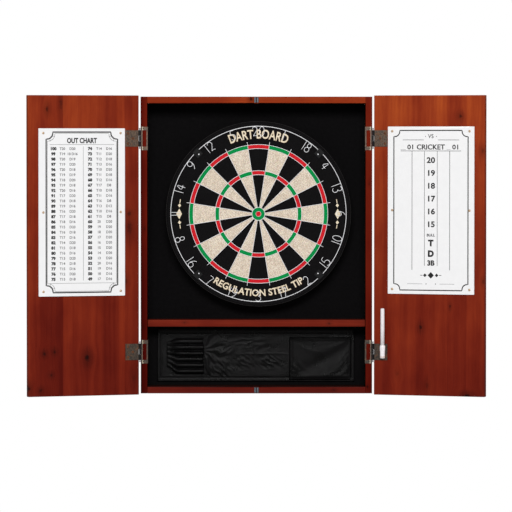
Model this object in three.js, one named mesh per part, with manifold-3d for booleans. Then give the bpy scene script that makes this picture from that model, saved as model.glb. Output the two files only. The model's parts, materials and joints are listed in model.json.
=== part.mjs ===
// A wooden dart board cabinet that hangs on a wall: a shallow case with two doors, a bristle board in its
// upper bay, a fabric organizer in its lower bay, a scoreboard inside each door and a dry-wipe marker.
//
// Millimetres. The wall face of the case is y = 0 and its open front faces -Y. +X is right and +Z is up, with
// the origin at the middle of the wall face. The doors stand 20 degrees forward of flat open.

import * as THREE from 'three';
import { mergeVertices } from 'three/addons/utils/BufferGeometryUtils.js';
import Module from 'manifold-3d';

const wasm = await Module();
wasm.setup();

// ---------------------------------------------------------------- driving dimensions

const SEAT = 0.3; // the gap between a piece and what it is fastened to

const CASE = { width: 566, height: 726, depth: 84, board: 16, back: 5, lining: 2 };
const DIVIDER = { top: -184, setBack: 18 };
const CATCH = { width: 10, height: 13, deep: 12, proud: 1 };

const DOOR = { width: 282, height: 732, thick: 16, forward: THREE.MathUtils.degToRad(20) };
const HINGE = {
  fromSide: 2, // pin axis to the side of the case, and to the hinge edge of the door
  fromFace: 1.5, // pin axis to the front of the case, and to the inner face of the door
  fromEnd: 102, // hinge centre to the top or bottom of the case
  leaf: 1,
  pin: 1.2,
  pinLength: 50,
  bore: 1.25,
  knuckle: 2.2,
  middleKnuckle: 12,
  doorLeafWidth: 37,
  doorLeafHeight: 40,
  frameLeafHeight: 57,
  frameWindow: 40,
  flange: 24,
};

const BOARD = {
  x: 5,
  z: 76,
  radius: 227,
  front: -60, // y of the playing face
  fibre: 31.7,
  backing: 6,
  band: 1,
  bevel: 2,
};
const WIRE = { size: 1.4, doubles: [170, 160], triples: [106, 96], bull: 15.9, innerBull: 6.35, reach: 178 };
const NUMBER_RING = { radius: 215, wire: 1.5 };
const CLIP = { width: 17, inner: 201, step: 212.4, outer: 220, thick: 1 };
const BRACKET = { width: 44, height: 50, flange: 20, steel: 1.6, standOff: 11, slot: 4.2 };
const BOLT = { shank: 3, head: 7, headThick: 3, washer: 9, washerThick: 2.5 };
const FOOT = { radius: 11, count: 3, circle: 185 };

const SCOREBOARD = { width: 220, height: 408, thick: 3, fromPin: 38.7, pinInset: 11.5, corner: 0.8 };
const SCOREBOARD_CENTRE = { left: 81.5, right: 86 };
const BOARD_PIN = { head: 3.1, shank: 0.9, proud: 1 };

const ORGANIZER = { left: -244, right: 241, bottom: -338, top: -209, sheet: 1.7 };
const SLEEVES = { left: -221, right: -131, bottom: -320, count: 6, pitch: 14.7, deep: 10, wall: 1.2 };
const POCKET = { left: 82, right: 232, bottom: -334, top: -230, deep: 9, wall: 1.4 };

const MARKER = { fromPin: 27, bottom: -276, length: 122, cap: 32, barrel: 4.9, capRadius: 6, tip: 2.2 };

// Places that follow from them.
const caseHalf = CASE.width / 2;
const caseInner = caseHalf - CASE.board;
const caseTop = CASE.height / 2;
const caseFront = -CASE.depth;
const liningFront = -(CASE.back + CASE.lining);
const dividerBottom = DIVIDER.top - CASE.board;
const pinX = caseHalf + HINGE.fromSide;
const pinY = caseFront - HINGE.fromFace;
const boardBack = BOARD.front + BOARD.fibre + BOARD.backing + SEAT;

// ---------------------------------------------------------------- materials

function material(color, roughness, metalness = 0) {
  return new THREE.MeshStandardMaterial({ color, roughness, metalness });
}

const WOOD = material(0x7a2a18, 0.45);
const BLACK_FELT = material(0x0c0c0d, 0.95);
const HARDBOARD = material(0x4a3527, 0.85);
const ANTIQUE_BRASS = material(0x6b5a45, 0.4, 0.9);
const BRASS = material(0xb08a4a, 0.3, 0.9);
const STEEL = material(0x9a9c9e, 0.35, 0.9);
const WIRE_STEEL = material(0xc4c6c8, 0.25, 0.95);
const BLACK_STEEL = material(0x1b1b1c, 0.5, 0.7);
const BRISTLE = material(0x1a1817, 0.9);
const RUBBER = material(0x151515, 0.8);
const BLACK_PLASTIC = material(0x141414, 0.5);
const WHITE_BOARD = material(0xf2f2f0, 0.25);
const BLACK_NYLON = material(0x1b1b1d, 0.7);
const WHITE_PLASTIC = material(0xf4f4f2, 0.3);
const MARKER_FELT = material(0x1a1a1a, 0.9);

// ---------------------------------------------------------------- shapes

/** A box from three pairs of coordinates, in either order. */
function slab(x, y, z) {
  const sizes = [x, y, z].map(([a, b]) => Math.abs(b - a));
  const middles = [x, y, z].map(([a, b]) => (a + b) / 2);
  return new THREE.BoxGeometry(...sizes).translate(...middles);
}

/** A closed outline in the XY plane, extruded from z low to z high. */
function prism(points, low, high, holes = []) {
  const shape = new THREE.Shape(points.map(([x, y]) => new THREE.Vector2(x, y)));
  shape.holes = holes.map((hole) => new THREE.Path(hole.map(([x, y]) => new THREE.Vector2(x, y))));
  const settings = { depth: high - low, bevelEnabled: false, curveSegments: 1 };
  const geometry = new THREE.ExtrudeGeometry(shape, settings);
  return geometry.translate(0, 0, low);
}

/** The corners of a regular polygon round a centre. */
function polygon(radius, sides, [x, y] = [0, 0]) {
  return Array.from({ length: sides }, (_, i) => {
    const angle = (2 * Math.PI * i) / sides;
    return [x + radius * Math.cos(angle), y + radius * Math.sin(angle)];
  });
}

/** A turned piece whose axis is Y: pairs of radius and y, turned round x = z = 0. */
function turned(profile, segments) {
  return new THREE.LatheGeometry(profile.map(([r, y]) => new THREE.Vector2(r, y)), segments);
}

/** The same, with its axis up. */
function turnedUp(profile, segments) {
  return turned(profile, segments).rotateX(Math.PI / 2);
}

/** A ring of rectangular section round the Y axis. */
function hoop(inner, outer, low, high, segments) {
  return turned([[inner, low], [outer, low], [outer, high], [inner, high], [inner, low]], segments);
}

/** A disc round the Y axis. */
function disc(radius, low, high, segments) {
  return turned([[0, low], [radius, low], [radius, high], [0, high]], segments);
}

function toSolid(geometry) {
  const bare = geometry.clone();
  bare.deleteAttribute('normal');
  bare.deleteAttribute('uv');
  const merged = mergeVertices(bare, 1e-4);
  const vertProperties = new Float32Array(merged.attributes.position.array);
  const triVerts = new Uint32Array(merged.index.array);
  return new wasm.Manifold(new wasm.Mesh({ numProp: 3, vertProperties, triVerts }));
}

function toGeometry(solid) {
  const { vertProperties, triVerts } = solid.getMesh();
  const geometry = new THREE.BufferGeometry();
  geometry.setAttribute('position', new THREE.BufferAttribute(new Float32Array(vertProperties), 3));
  geometry.setIndex(new THREE.BufferAttribute(new Uint32Array(triVerts), 1));
  geometry.computeVertexNormals();
  return geometry;
}

function joined(geometries) {
  return toGeometry(geometries.map(toSolid).reduce((whole, piece) => whole.add(piece)));
}

function cut(geometry, ...cutters) {
  return toGeometry(cutters.map(toSolid).reduce((whole, cutter) => whole.subtract(cutter), toSolid(geometry)));
}

function add(group, name, geometry, colour, position = [0, 0, 0]) {
  const mesh = new THREE.Mesh(geometry, colour);
  mesh.name = name;
  mesh.position.set(...position);
  group.add(mesh);
}

// ---------------------------------------------------------------- the case

function catchBox(side, clearance) {
  const half = CATCH.width / 2 + clearance;
  const middle = side * (caseTop - CASE.board / 2);
  const tall = CATCH.height / 2 + clearance;
  return slab(
    [-half, half],
    [caseFront - CATCH.proud, caseFront + CATCH.deep + clearance],
    [middle - tall, middle + tall],
  );
}

/** The boards of the box, its hardboard back and the shelf between the two bays. */
function addCase(group) {
  const across = [-caseInner, caseInner];
  const deep = [caseFront, 0];
  for (const [name, side] of [['left', -1], ['right', 1]]) {
    const board = slab([side * caseInner, side * caseHalf], deep, [-caseTop, caseTop]);
    add(group, `side_board_${name}`, board, WOOD);
  }
  for (const [name, side] of [['top', 1], ['bottom', -1]]) {
    const board = slab(across, deep, [side * (caseTop - CASE.board), side * caseTop]);
    add(group, `${name}_board`, cut(board, catchBox(side, SEAT)), WOOD);
    add(group, `magnetic_catch_${name}`, catchBox(side, 0), STEEL);
  }
  const shelfFront = caseFront + DIVIDER.setBack;
  add(group, 'bay_divider', slab(across, [shelfFront, -CASE.back], [dividerBottom, DIVIDER.top]), WOOD);
  const tall = [-caseTop + CASE.board, caseTop - CASE.board];
  add(group, 'back_panel', slab(across, [-CASE.back, 0], tall), HARDBOARD);
}

/** The black felt glued over the back of each bay. */
function addLinings(group) {
  const across = [-caseInner + SEAT, caseInner - SEAT];
  const deep = [liningFront, -CASE.back];
  const bays = {
    upper_bay_lining: [DIVIDER.top + SEAT, caseTop - CASE.board - SEAT],
    lower_bay_lining: [-caseTop + CASE.board + SEAT, dividerBottom - SEAT],
  };
  for (const [name, tall] of Object.entries(bays)) {
    add(group, name, slab(across, deep, tall), BLACK_FELT);
  }
}

// ---------------------------------------------------------------- the hinges

const hingeHeights = { upper: caseTop - HINGE.fromEnd, lower: -(caseTop - HINGE.fromEnd) };

/** A curl of leaf metal round the pin, joined to the plate that starts at the given x and y. */
function knuckle(side, [low, high], plateY) {
  const boreCorner = HINGE.bore / Math.cos(Math.PI / 16);
  const curl = prism(polygon(HINGE.knuckle, 16), low, high, [polygon(boreCorner, 16)]);
  const tongue = slab([side * 1.5, side * 4], plateY, [low, high]);
  return [curl, tongue];
}

/** The leaf on the case: a window frame on the front edge of the side board, and a flange inside it. */
function frameLeaf(side) {
  const half = HINGE.frameLeafHeight / 2;
  const windowHalf = HINGE.frameWindow / 2;
  const plate = [HINGE.fromFace - SEAT - HINGE.leaf, HINGE.fromFace - SEAT];
  const outer = -side * (HINGE.fromSide + 1);
  const inner = -side * (HINGE.fromSide + CASE.board + SEAT + HINGE.leaf);
  const innerFace = inner + side * HINGE.leaf;
  const bar = 3.2;
  const windowInner = inner + side * bar;
  const windowOuter = outer - side * bar;
  const middle = HINGE.middleKnuckle / 2;
  return joined([
    slab([outer, inner], plate, [windowHalf, half]),
    slab([outer, inner], plate, [-half, -windowHalf]),
    slab([outer, windowOuter], plate, [-half, half]),
    slab([windowInner, inner], plate, [-half, half]),
    slab([innerFace, inner], [plate[0], HINGE.fromFace + HINGE.flange], [-half, half]),
    ...knuckle(-side, [-middle, middle], plate),
  ]);
}

/** The leaf on the door, with a knuckle above and below the case leaf's own. */
function doorLeaf(side) {
  const half = HINGE.doorLeafHeight / 2;
  const middle = HINGE.middleKnuckle / 2 + SEAT;
  const plate = [HINGE.fromFace - SEAT - HINGE.leaf, HINGE.fromFace - SEAT];
  return joined([
    slab([side * (HINGE.fromSide + 1), side * HINGE.doorLeafWidth], plate, [-half, half]),
    ...knuckle(side, [middle, half], plate),
    ...knuckle(side, [-half, -middle], plate),
  ]);
}

/** The hinge pin, with a small head at each end. */
function hingePin() {
  const half = HINGE.pinLength / 2;
  const head = HINGE.pin + 0.7;
  return turnedUp([[0, -half], [head, -half], [head, 1.2 - half], [HINGE.pin, 1.2 - half],
    [HINGE.pin, half - 1.2], [head, half - 1.2], [head, half], [0, half]], 16);
}

// ---------------------------------------------------------------- the doors

/** One door with its hinge leaves and scoreboard, built flat open round its hinge line. */
function addDoor(cabinet, name, side) {
  const hung = new THREE.Group();
  hung.position.set(side * pinX, pinY, 0);
  hung.rotation.z = -side * DOOR.forward;
  cabinet.add(hung);

  const inner = HINGE.fromFace;
  const near = HINGE.fromSide;
  add(hung, `door_${name}`, slab(
    [side * near, side * (near + DOOR.width)],
    [inner, inner + DOOR.thick],
    [-DOOR.height / 2, DOOR.height / 2],
  ), WOOD);

  for (const [level, z] of Object.entries(hingeHeights)) {
    add(hung, `hinge_${level}_${name}_door_leaf`, doorLeaf(side), ANTIQUE_BRASS, [0, 0, z]);
    const at = [side * pinX, pinY, z];
    add(cabinet, `hinge_${level}_${name}_case_leaf`, frameLeaf(side), ANTIQUE_BRASS, at);
    add(cabinet, `hinge_${level}_${name}_pin`, hingePin(), ANTIQUE_BRASS, at);
  }
  addScoreboard(hung, name, side);
  return hung;
}

/** A white panel held to the door by six round-headed pins. */
function addScoreboard(hung, name, side) {
  const back = HINGE.fromFace - SEAT;
  const front = back - SCOREBOARD.thick;
  const middle = side * (SCOREBOARD.fromPin + SCOREBOARD.width / 2);
  const height = SCOREBOARD_CENTRE[name];
  const halfWidth = SCOREBOARD.width / 2;
  const halfHeight = SCOREBOARD.height / 2;
  const bore = BOARD_PIN.shank + SEAT;
  const holes = [];
  const pins = [];
  for (const row of [1, 0, -1]) {
    for (const column of [-1, 1]) {
      const x = column * (halfWidth - SCOREBOARD.pinInset);
      const z = row * (halfHeight - SCOREBOARD.pinInset);
      holes.push(polygon(bore, 8, [x, z]));
      pins.push([middle + x, height + z]);
    }
  }
  const c = SCOREBOARD.corner;
  const outline = [
    [-halfWidth + c, -halfHeight], [halfWidth - c, -halfHeight], [halfWidth, -halfHeight + c],
    [halfWidth, halfHeight - c], [halfWidth - c, halfHeight], [-halfWidth + c, halfHeight],
    [-halfWidth, halfHeight - c], [-halfWidth, -halfHeight + c],
  ];
  const panel = prism(outline, 0, SCOREBOARD.thick, holes).rotateX(Math.PI / 2);
  add(hung, `scoreboard_${name}`, panel, WHITE_BOARD, [middle, back, height]);
  pins.forEach(([x, z], i) => {
    add(hung, `scoreboard_pin_${name}_${i + 1}`, boardPin(front, back), BRASS, [x, 0, z]);
  });
}

/** A round-headed pin along Y, from its domed head to the door's face. */
function boardPin(front, back) {
  const under = front - 0.1;
  const tip = back + 0.2;
  return turned([[0, under - BOARD_PIN.proud], [BOARD_PIN.head * 0.6, under - BOARD_PIN.proud * 0.75],
    [BOARD_PIN.head, under], [BOARD_PIN.shank, under], [BOARD_PIN.shank, tip], [0, tip]], 10);
}

// ---------------------------------------------------------------- the dart board

/** The wires that stand on the playing face: four rings, the bull ring and the lines between the beds. */
function wireSpider() {
  const back = -SEAT;
  const front = back - WIRE.size;
  const half = WIRE.size / 2;
  const rings = [...WIRE.doubles, ...WIRE.triples, WIRE.bull].map(
    (radius) => hoop(radius - half, radius + half, front, back, 60),
  );
  const spokes = Array.from({ length: 20 }, (_, i) => {
    const angle = (Math.PI * (2 * i + 1)) / 20;
    return slab([WIRE.bull, WIRE.reach], [front, back], [-half, half]).rotateY(angle);
  });
  return joined([...rings, ...spokes]);
}

/** The number ring: a round wire hoop. */
function numberRing() {
  const r = NUMBER_RING.wire;
  const middle = -SEAT - r;
  const section = polygon(r, 6).map(([a, b]) => [NUMBER_RING.radius + a, middle + b]);
  return turned([...section, section[0]], 60);
}

/** A clip from the playing face over the number ring. */
function ringClip(angle) {
  const t = CLIP.thick;
  const foot = -SEAT;
  const over = foot - 2 * NUMBER_RING.wire - SEAT - t;
  const profile = [[CLIP.inner, foot], [CLIP.inner, foot - t], [CLIP.step - t, foot - t], [CLIP.step - t, over],
    [CLIP.outer, over], [CLIP.outer, over + t], [CLIP.step, over + t], [CLIP.step, foot]];
  return prism(profile, -CLIP.width / 2, CLIP.width / 2).rotateY(angle);
}

/** The fibre disc, its backing and steel band, the wires, the number ring and the feet behind. */
function addDartboard(group) {
  const at = [BOARD.x, BOARD.front, BOARD.z];
  const core = BOARD.radius - BOARD.band - SEAT;
  const b = BOARD.bevel;
  const fibre = turned([[0, 0], [core - b, 0], [core, b], [core, BOARD.fibre], [0, BOARD.fibre]], 72);
  add(group, 'dartboard_fibre', fibre, BRISTLE, at);
  const backingLow = BOARD.fibre + SEAT;
  add(group, 'dartboard_backing', disc(core, backingLow, backingLow + BOARD.backing, 72), HARDBOARD, at);
  const band = hoop(BOARD.radius - BOARD.band, BOARD.radius, b + 1, backingLow + BOARD.backing - 1, 72);
  add(group, 'dartboard_band', band, BLACK_STEEL, at);
  add(group, 'wire_spider', wireSpider(), WIRE_STEEL, at);
  const half = WIRE.size / 2;
  const innerBull = hoop(WIRE.innerBull - half, WIRE.innerBull + half, -SEAT - WIRE.size, -SEAT, 24);
  add(group, 'bull_wire', innerBull, WIRE_STEEL, at);
  add(group, 'number_ring', numberRing(), WIRE_STEEL, at);
  for (let i = 0; i < 4; i += 1) {
    add(group, `number_ring_clip_${i + 1}`, ringClip((Math.PI * (2 * i + 1)) / 4), BLACK_PLASTIC, at);
  }
  const footLong = liningFront - 0.5 - boardBack - SEAT;
  for (let i = 0; i < FOOT.count; i += 1) {
    const angle = Math.PI / 2 + (2 * Math.PI * i) / FOOT.count;
    const x = BOARD.x + FOOT.circle * Math.cos(angle);
    const z = BOARD.z + FOOT.circle * Math.sin(angle);
    const foot = disc(FOOT.radius, 0, footLong, 20);
    add(group, `dartboard_foot_${i + 1}`, foot, RUBBER, [x, boardBack + SEAT, z]);
  }
}

/** The folded steel bracket on the back panel, open at the top, that the board's bolt drops into. */
function wallBracket() {
  const half = BRACKET.width / 2;
  const t = BRACKET.steel;
  const foot = liningFront - SEAT;
  const face = foot - BRACKET.standOff;
  const wide = half + BRACKET.flange;
  const outline = [[-wide, foot], [-wide, foot - t], [-half, foot - t], [-half, face], [half, face],
    [half, foot - t], [wide, foot - t], [wide, foot], [half - t, foot], [half - t, face + t],
    [-half + t, face + t], [-half + t, foot]];
  const plate = prism(outline, -BRACKET.height / 2, BRACKET.height / 2);
  const slot = slab([-BRACKET.slot, BRACKET.slot], [face - 5, foot + 5], [-BRACKET.slot, BRACKET.height]);
  return cut(plate, slot);
}

/** The bolt that carries the board: a head behind the bracket, a shank and a washer on the board's back. */
function hangerBolt() {
  const bracketBack = liningFront - SEAT - BRACKET.standOff + BRACKET.steel;
  const headFront = bracketBack + SEAT;
  const washerFront = boardBack + SEAT;
  const washerBack = washerFront + BOLT.washerThick;
  return turned([[0, washerFront], [BOLT.washer, washerFront], [BOLT.washer, washerBack],
    [BOLT.shank, washerBack], [BOLT.shank, headFront], [BOLT.head, headFront],
    [BOLT.head, headFront + BOLT.headThick], [0, headFront + BOLT.headThick]], 24);
}

function addHanger(group) {
  add(group, 'wall_bracket', wallBracket(), STEEL, [BOARD.x, 0, BOARD.z]);
  add(group, 'hanger_bolt', hangerBolt(), STEEL, [BOARD.x, 0, BOARD.z]);
}

// ---------------------------------------------------------------- the organizer

/** Six dart sleeves side by side, each a channel open at both ends. */
function dartSleeves() {
  const { count, pitch, deep, wall } = SLEEVES;
  const long = SLEEVES.right - SLEEVES.left;
  const outline = [[0, 0], [count * pitch, 0]];
  const channels = [];
  for (let i = count - 1; i >= 0; i -= 1) {
    const start = i * pitch;
    outline.push([start + pitch, deep * 0.62], [start + pitch * 0.75, deep * 0.92], [start + pitch / 2, deep]);
    outline.push([start + pitch * 0.25, deep * 0.92]);
    const [low, high] = [start + wall, start + pitch - wall];
    const channel = [[low, wall], [high, wall], [high, deep * 0.55], [high - 2, deep - 2 * wall],
      [low + 2, deep - 2 * wall], [low, deep * 0.55]];
    channels.push(prism(channel, -1, long + 1));
  }
  outline.push([0, deep * 0.62]);
  return cut(prism(outline, 0, long), ...channels);
}

/** The flat patch pocket, open along its top edge. */
function patchPocket(back) {
  const { left, right, bottom, top, deep, wall } = POCKET;
  const front = back - deep;
  return joined([
    slab([left, right], [front, front + wall], [bottom, top]),
    slab([left, right], [front, back], [bottom, bottom + wall]),
    slab([left, left + wall], [front, back], [bottom, top]),
    slab([right - wall, right], [front, back], [bottom, top]),
  ]);
}

function addOrganizer(group) {
  const sheetBack = liningFront - SEAT;
  const sheetFront = sheetBack - ORGANIZER.sheet;
  const width = [ORGANIZER.left, ORGANIZER.right];
  const sheet = slab(width, [sheetFront, sheetBack], [ORGANIZER.bottom, ORGANIZER.top]);
  add(group, 'organizer_sheet', sheet, BLACK_NYLON);
  const back = sheetFront - SEAT;
  const upright = new THREE.Matrix4().makeBasis(
    new THREE.Vector3(0, 0, 1), new THREE.Vector3(0, -1, 0), new THREE.Vector3(1, 0, 0),
  );
  add(group, 'dart_sleeves', dartSleeves().applyMatrix4(upright), BLACK_NYLON,
    [SLEEVES.left, back, SLEEVES.bottom]);
  add(group, 'accessory_pocket', patchPocket(back), BLACK_NYLON);
}

// ---------------------------------------------------------------- the marker

/** A dry-wipe marker that stands cap down on the lower hinge leaf, held to it by the magnet in its cap. */
function addMarker(hung, side) {
  const axisY = HINGE.fromFace - SEAT - HINGE.leaf - 1.3 - MARKER.capRadius;
  const at = [side * MARKER.fromPin, axisY, MARKER.bottom];
  const mouth = MARKER.cap;
  const bore = MARKER.barrel - 0.9;
  const plug = bore - SEAT;
  const inside = 4;
  const capWall = [[0, 0], [MARKER.capRadius - 1.2, 0], [MARKER.capRadius, 1.2], [MARKER.capRadius, mouth],
    [bore, mouth], [bore, inside], [0, inside]];
  add(hung, 'marker_cap', turnedUp(capWall, 20), WHITE_PLASTIC, at);
  const shoulder = mouth + SEAT;
  const end = MARKER.length;
  const barrel = [[0, mouth - 12], [plug, mouth - 12], [plug, shoulder], [MARKER.barrel, shoulder],
    [MARKER.barrel, end - 1.5], [MARKER.barrel - 1.5, end], [0, end]];
  add(hung, 'marker_barrel', turnedUp(barrel, 20), WHITE_PLASTIC, at);
  const tip = [[0, mouth - 22], [MARKER.tip * 0.6, mouth - 21], [MARKER.tip, mouth - 17],
    [MARKER.tip, mouth - 12 - SEAT], [0, mouth - 12 - SEAT]];
  add(hung, 'marker_tip', turnedUp(tip, 12), MARKER_FELT, at);
}

// ---------------------------------------------------------------- the whole cabinet

const cabinet = new THREE.Group();
addCase(cabinet);
addLinings(cabinet);
addHanger(cabinet);
addDartboard(cabinet);
addOrganizer(cabinet);
addDoor(cabinet, 'left', -1);
const rightDoor = addDoor(cabinet, 'right', 1);
addMarker(rightDoor, 1);

export default cabinet;
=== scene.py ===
import json
import math

import bpy
import numpy as np
from mathutils import Matrix, Vector, noise


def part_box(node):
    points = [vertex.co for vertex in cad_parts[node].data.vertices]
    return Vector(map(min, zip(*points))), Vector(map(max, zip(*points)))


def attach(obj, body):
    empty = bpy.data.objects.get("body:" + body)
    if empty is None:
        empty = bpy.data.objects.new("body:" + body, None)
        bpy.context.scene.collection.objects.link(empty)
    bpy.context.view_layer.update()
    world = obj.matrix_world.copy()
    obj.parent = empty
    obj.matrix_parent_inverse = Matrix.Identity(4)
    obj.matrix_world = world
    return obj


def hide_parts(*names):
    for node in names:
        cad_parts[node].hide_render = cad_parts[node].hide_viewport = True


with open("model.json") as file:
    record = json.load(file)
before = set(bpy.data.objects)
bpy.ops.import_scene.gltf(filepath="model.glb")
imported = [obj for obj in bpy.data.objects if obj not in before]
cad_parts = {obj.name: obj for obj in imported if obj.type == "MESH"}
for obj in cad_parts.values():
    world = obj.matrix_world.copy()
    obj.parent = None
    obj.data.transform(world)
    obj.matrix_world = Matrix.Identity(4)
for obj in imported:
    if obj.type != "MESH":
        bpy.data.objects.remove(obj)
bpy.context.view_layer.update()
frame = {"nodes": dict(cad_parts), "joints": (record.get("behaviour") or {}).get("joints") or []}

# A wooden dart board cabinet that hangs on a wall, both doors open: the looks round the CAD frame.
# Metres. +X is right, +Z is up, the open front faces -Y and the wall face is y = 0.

MM = 0.001
SIDES = {"left": -1, "right": 1}
BOTH = (-1, 1)
FORWARD = math.radians(20)  # how far each door stands forward of flat open
PIN = {j["child"]: Vector(j["pos_m"]) for j in frame["joints"] if j["child"] in ("door_left", "door_right")}

CASE_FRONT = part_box("side_board_left")[0].y
BOARD_LOW, BOARD_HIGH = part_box("dartboard_fibre")
FACE = Vector(((BOARD_LOW.x + BOARD_HIGH.x) / 2, BOARD_LOW.y, (BOARD_LOW.z + BOARD_HIGH.z) / 2))
CORE = (BOARD_HIGH.x - BOARD_LOW.x) / 2  # radius of the fibre disc

# The rings of the playing face, as radii.
INNER_BULL, OUTER_BULL = 6.35 * MM, 15.9 * MM
TRIPLE = (96 * MM, 106 * MM)
DOUBLE = (160 * MM, 170 * MM)
WIRE_REACH = 178 * MM
BAND_MIDDLE = 194.5 * MM  # where the words on the black band are
CLIP_AWAY = 206.5 * MM
RIM = 3 * MM  # the rounding of the fibre disc's edge
SECTORS = (20, 1, 18, 4, 13, 6, 10, 15, 2, 17, 3, 19, 7, 16, 8, 11, 14, 9, 12, 5)
STEP = 2 * math.pi / len(SECTORS)

INK = 0.04 * MM  # how far print stands off the surface that it is on


# ---------------------------------------------------------------- colour and shading


def tone(red, green, blue):
    """A colour given in the usual 0 to 255 steps, in the linear values that the shaders take."""
    linear = []
    for value in (red, green, blue):
        share = value / 255
        linear.append(share / 12.92 if share <= 0.04045 else ((share + 0.055) / 1.055) ** 2.4)
    return (*linear, 1.0)


LEVELS = {
    "metallic": "Metallic",
    "specular": "Specular IOR Level",
    "coat": "Coat Weight",
    "coat_rough": "Coat Roughness",
    "sheen": "Sheen Weight",
    "sheen_rough": "Sheen Roughness",
}


class Shader:
    """A material being made: its node tree, its surface shader and short ways to add nodes."""

    def __init__(self, name, colour, rough, **levels):
        self.material = bpy.data.materials.new(name)
        self.material.use_nodes = True
        self.tree = self.material.node_tree
        self.surface = self.tree.nodes["Principled BSDF"]
        self.put(self.surface.inputs["Base Color"], colour)
        self.put(self.surface.inputs["Roughness"], rough)
        for level, value in levels.items():
            self.put(self.surface.inputs[LEVELS[level]], value)

    def put(self, socket, value):
        if isinstance(value, bpy.types.NodeSocket):
            self.tree.links.new(value, socket)
        else:
            socket.default_value = value

    def colour(self, value):
        self.put(self.surface.inputs["Base Color"], value)

    def rough(self, value):
        self.put(self.surface.inputs["Roughness"], value)

    def node(self, kind, inputs=(), output=0, **settings):
        made = self.tree.nodes.new("ShaderNode" + kind)
        for setting, value in settings.items():
            setattr(made, setting, value)
        for key, value in dict(inputs).items():
            self.put(made.inputs[key], value)
        return made.outputs[output]

    def sum(self, operation, a, b=0.0, c=0.0):
        return self.node("Math", {0: a, 1: b, 2: c}, operation=operation)

    def times(self, a, b):
        return self.sum("MULTIPLY", a, b)

    def plus(self, a, b):
        return self.sum("ADD", a, b)

    def mix(self, share, a, b, blend="MIX"):
        return self.node("Mix", {0: share, 6: a, 7: b}, output=2, data_type="RGBA", blend_type=blend)

    def rise(self, value, low, high, start=0.0, end=1.0):
        """start below low, end above high, and a smooth step between them."""
        limits = {"Value": value, "From Min": low, "From Max": high, "To Min": start, "To Max": end}
        return self.node("MapRange", limits, interpolation_type="SMOOTHSTEP")

    def ramp(self, value, stops):
        made = self.tree.nodes.new("ShaderNodeValToRGB")
        self.put(made.inputs[0], value)
        elements = made.color_ramp.elements
        while len(elements) < len(stops):
            elements.new(0.5)
        for element, (place, colour) in zip(elements, stops):
            element.position = place
            element.color = colour
        return made.outputs[0]

    def place(self, turn=0.0, origin=(0, 0, 0)):
        """Object coordinates, seen from a frame at origin that is turned about Z."""
        coords = self.tree.nodes.new("ShaderNodeTexCoord").outputs["Object"]
        back = Matrix.Rotation(-turn, 3, "Z")
        shift = -(back @ Vector(origin))
        return self.node("Mapping", {"Vector": coords, "Location": shift, "Rotation": (0, 0, -turn)})

    def split(self, vector):
        made = self.tree.nodes.new("ShaderNodeSeparateXYZ")
        self.put(made.inputs[0], vector)
        return made.outputs[0], made.outputs[1], made.outputs[2]

    def join(self, x, y, z):
        return self.node("CombineXYZ", {0: x, 1: y, 2: z})

    def noise(self, vector, scale=1.0, detail=2.0, rough=0.5):
        inputs = {"Vector": vector, "Scale": scale, "Detail": detail, "Roughness": rough}
        return self.node("TexNoise", inputs)

    def bump(self, height, strength, distance):
        inputs = {"Height": height, "Strength": strength, "Distance": distance}
        normal = self.node("Bump", inputs)
        self.put(self.surface.inputs["Normal"], normal)
        return self.material


# ---------------------------------------------------------------- materials

DOOR_TOP = 0.366  # half the doors' height
PAINTED_TOP_LIGHT = 0.34  # painted light: how much lighter the wood is made at the top of the doors than at half height, for light from above
KNOT = tone(30, 10, 8)
# Painted shade for the case's inner faces: near black on the side boards and under the top, dark brown on the
# bottom board's top face.
PAINTED_SHADE_BLACK = tone(11, 10, 10)
PAINTED_SHADE_BROWN = tone(44, 16, 11)


def knots_in(shader, across, along, knots):
    """The grain coordinate drawn aside round each knot, and how dark the knots and their cracks are.

    A knot is (across, along, half width, half length, strength)."""
    drawn = across
    dark = 0.0
    here = shader.join(across, 0.0, along)
    rough = shader.times(shader.sum("SUBTRACT", shader.noise(here, scale=190.0, detail=3), 0.5), 1.3)
    for at_across, at_along, wide, tall, strength in knots:
        aside = shader.sum("SUBTRACT", across, at_across)
        above = shader.sum("SUBTRACT", along, at_along)
        share = shader.join(shader.times(aside, 1 / wide), shader.times(above, 1 / tall), 0.0)
        away = shader.node("VectorMath", {0: share}, output=1, operation="LENGTH")
        ragged = shader.plus(away, rough)
        pull = shader.rise(away, 0.0, 5.0, 0.8, 0.0)
        drawn = shader.sum("SUBTRACT", drawn, shader.times(aside, pull))
        core = shader.rise(ragged, 0.1, 1.35, strength, 0.0)
        glow = shader.rise(ragged, 0.3, 3.2, strength * 0.4, 0.0)
        thin = shader.rise(shader.sum("ABSOLUTE", aside), 0.0, wide * 0.42, strength * 0.55, 0.0)
        short = shader.rise(shader.sum("ABSOLUTE", above), tall * 0.8, tall * 3.4, 1.0, 0.0)
        for part in (core, glow, shader.times(thin, short)):
            dark = shader.sum("MAXIMUM", dark, part)
    return drawn, dark


def board_levels(shader, across, levels):
    """How light the wood is from one edge to the other, with a step at each glue line."""
    first = levels[0][0]
    width = levels[-1][0] - first
    share = shader.times(shader.sum("SUBTRACT", across, first), 1 / width)
    stops = [((place - first) / width, (level / 2, level / 2, level / 2, 1)) for place, level in levels]
    return shader.times(shader.node("SeparateColor", {0: shader.ramp(share, stops)}), 2.0)


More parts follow.
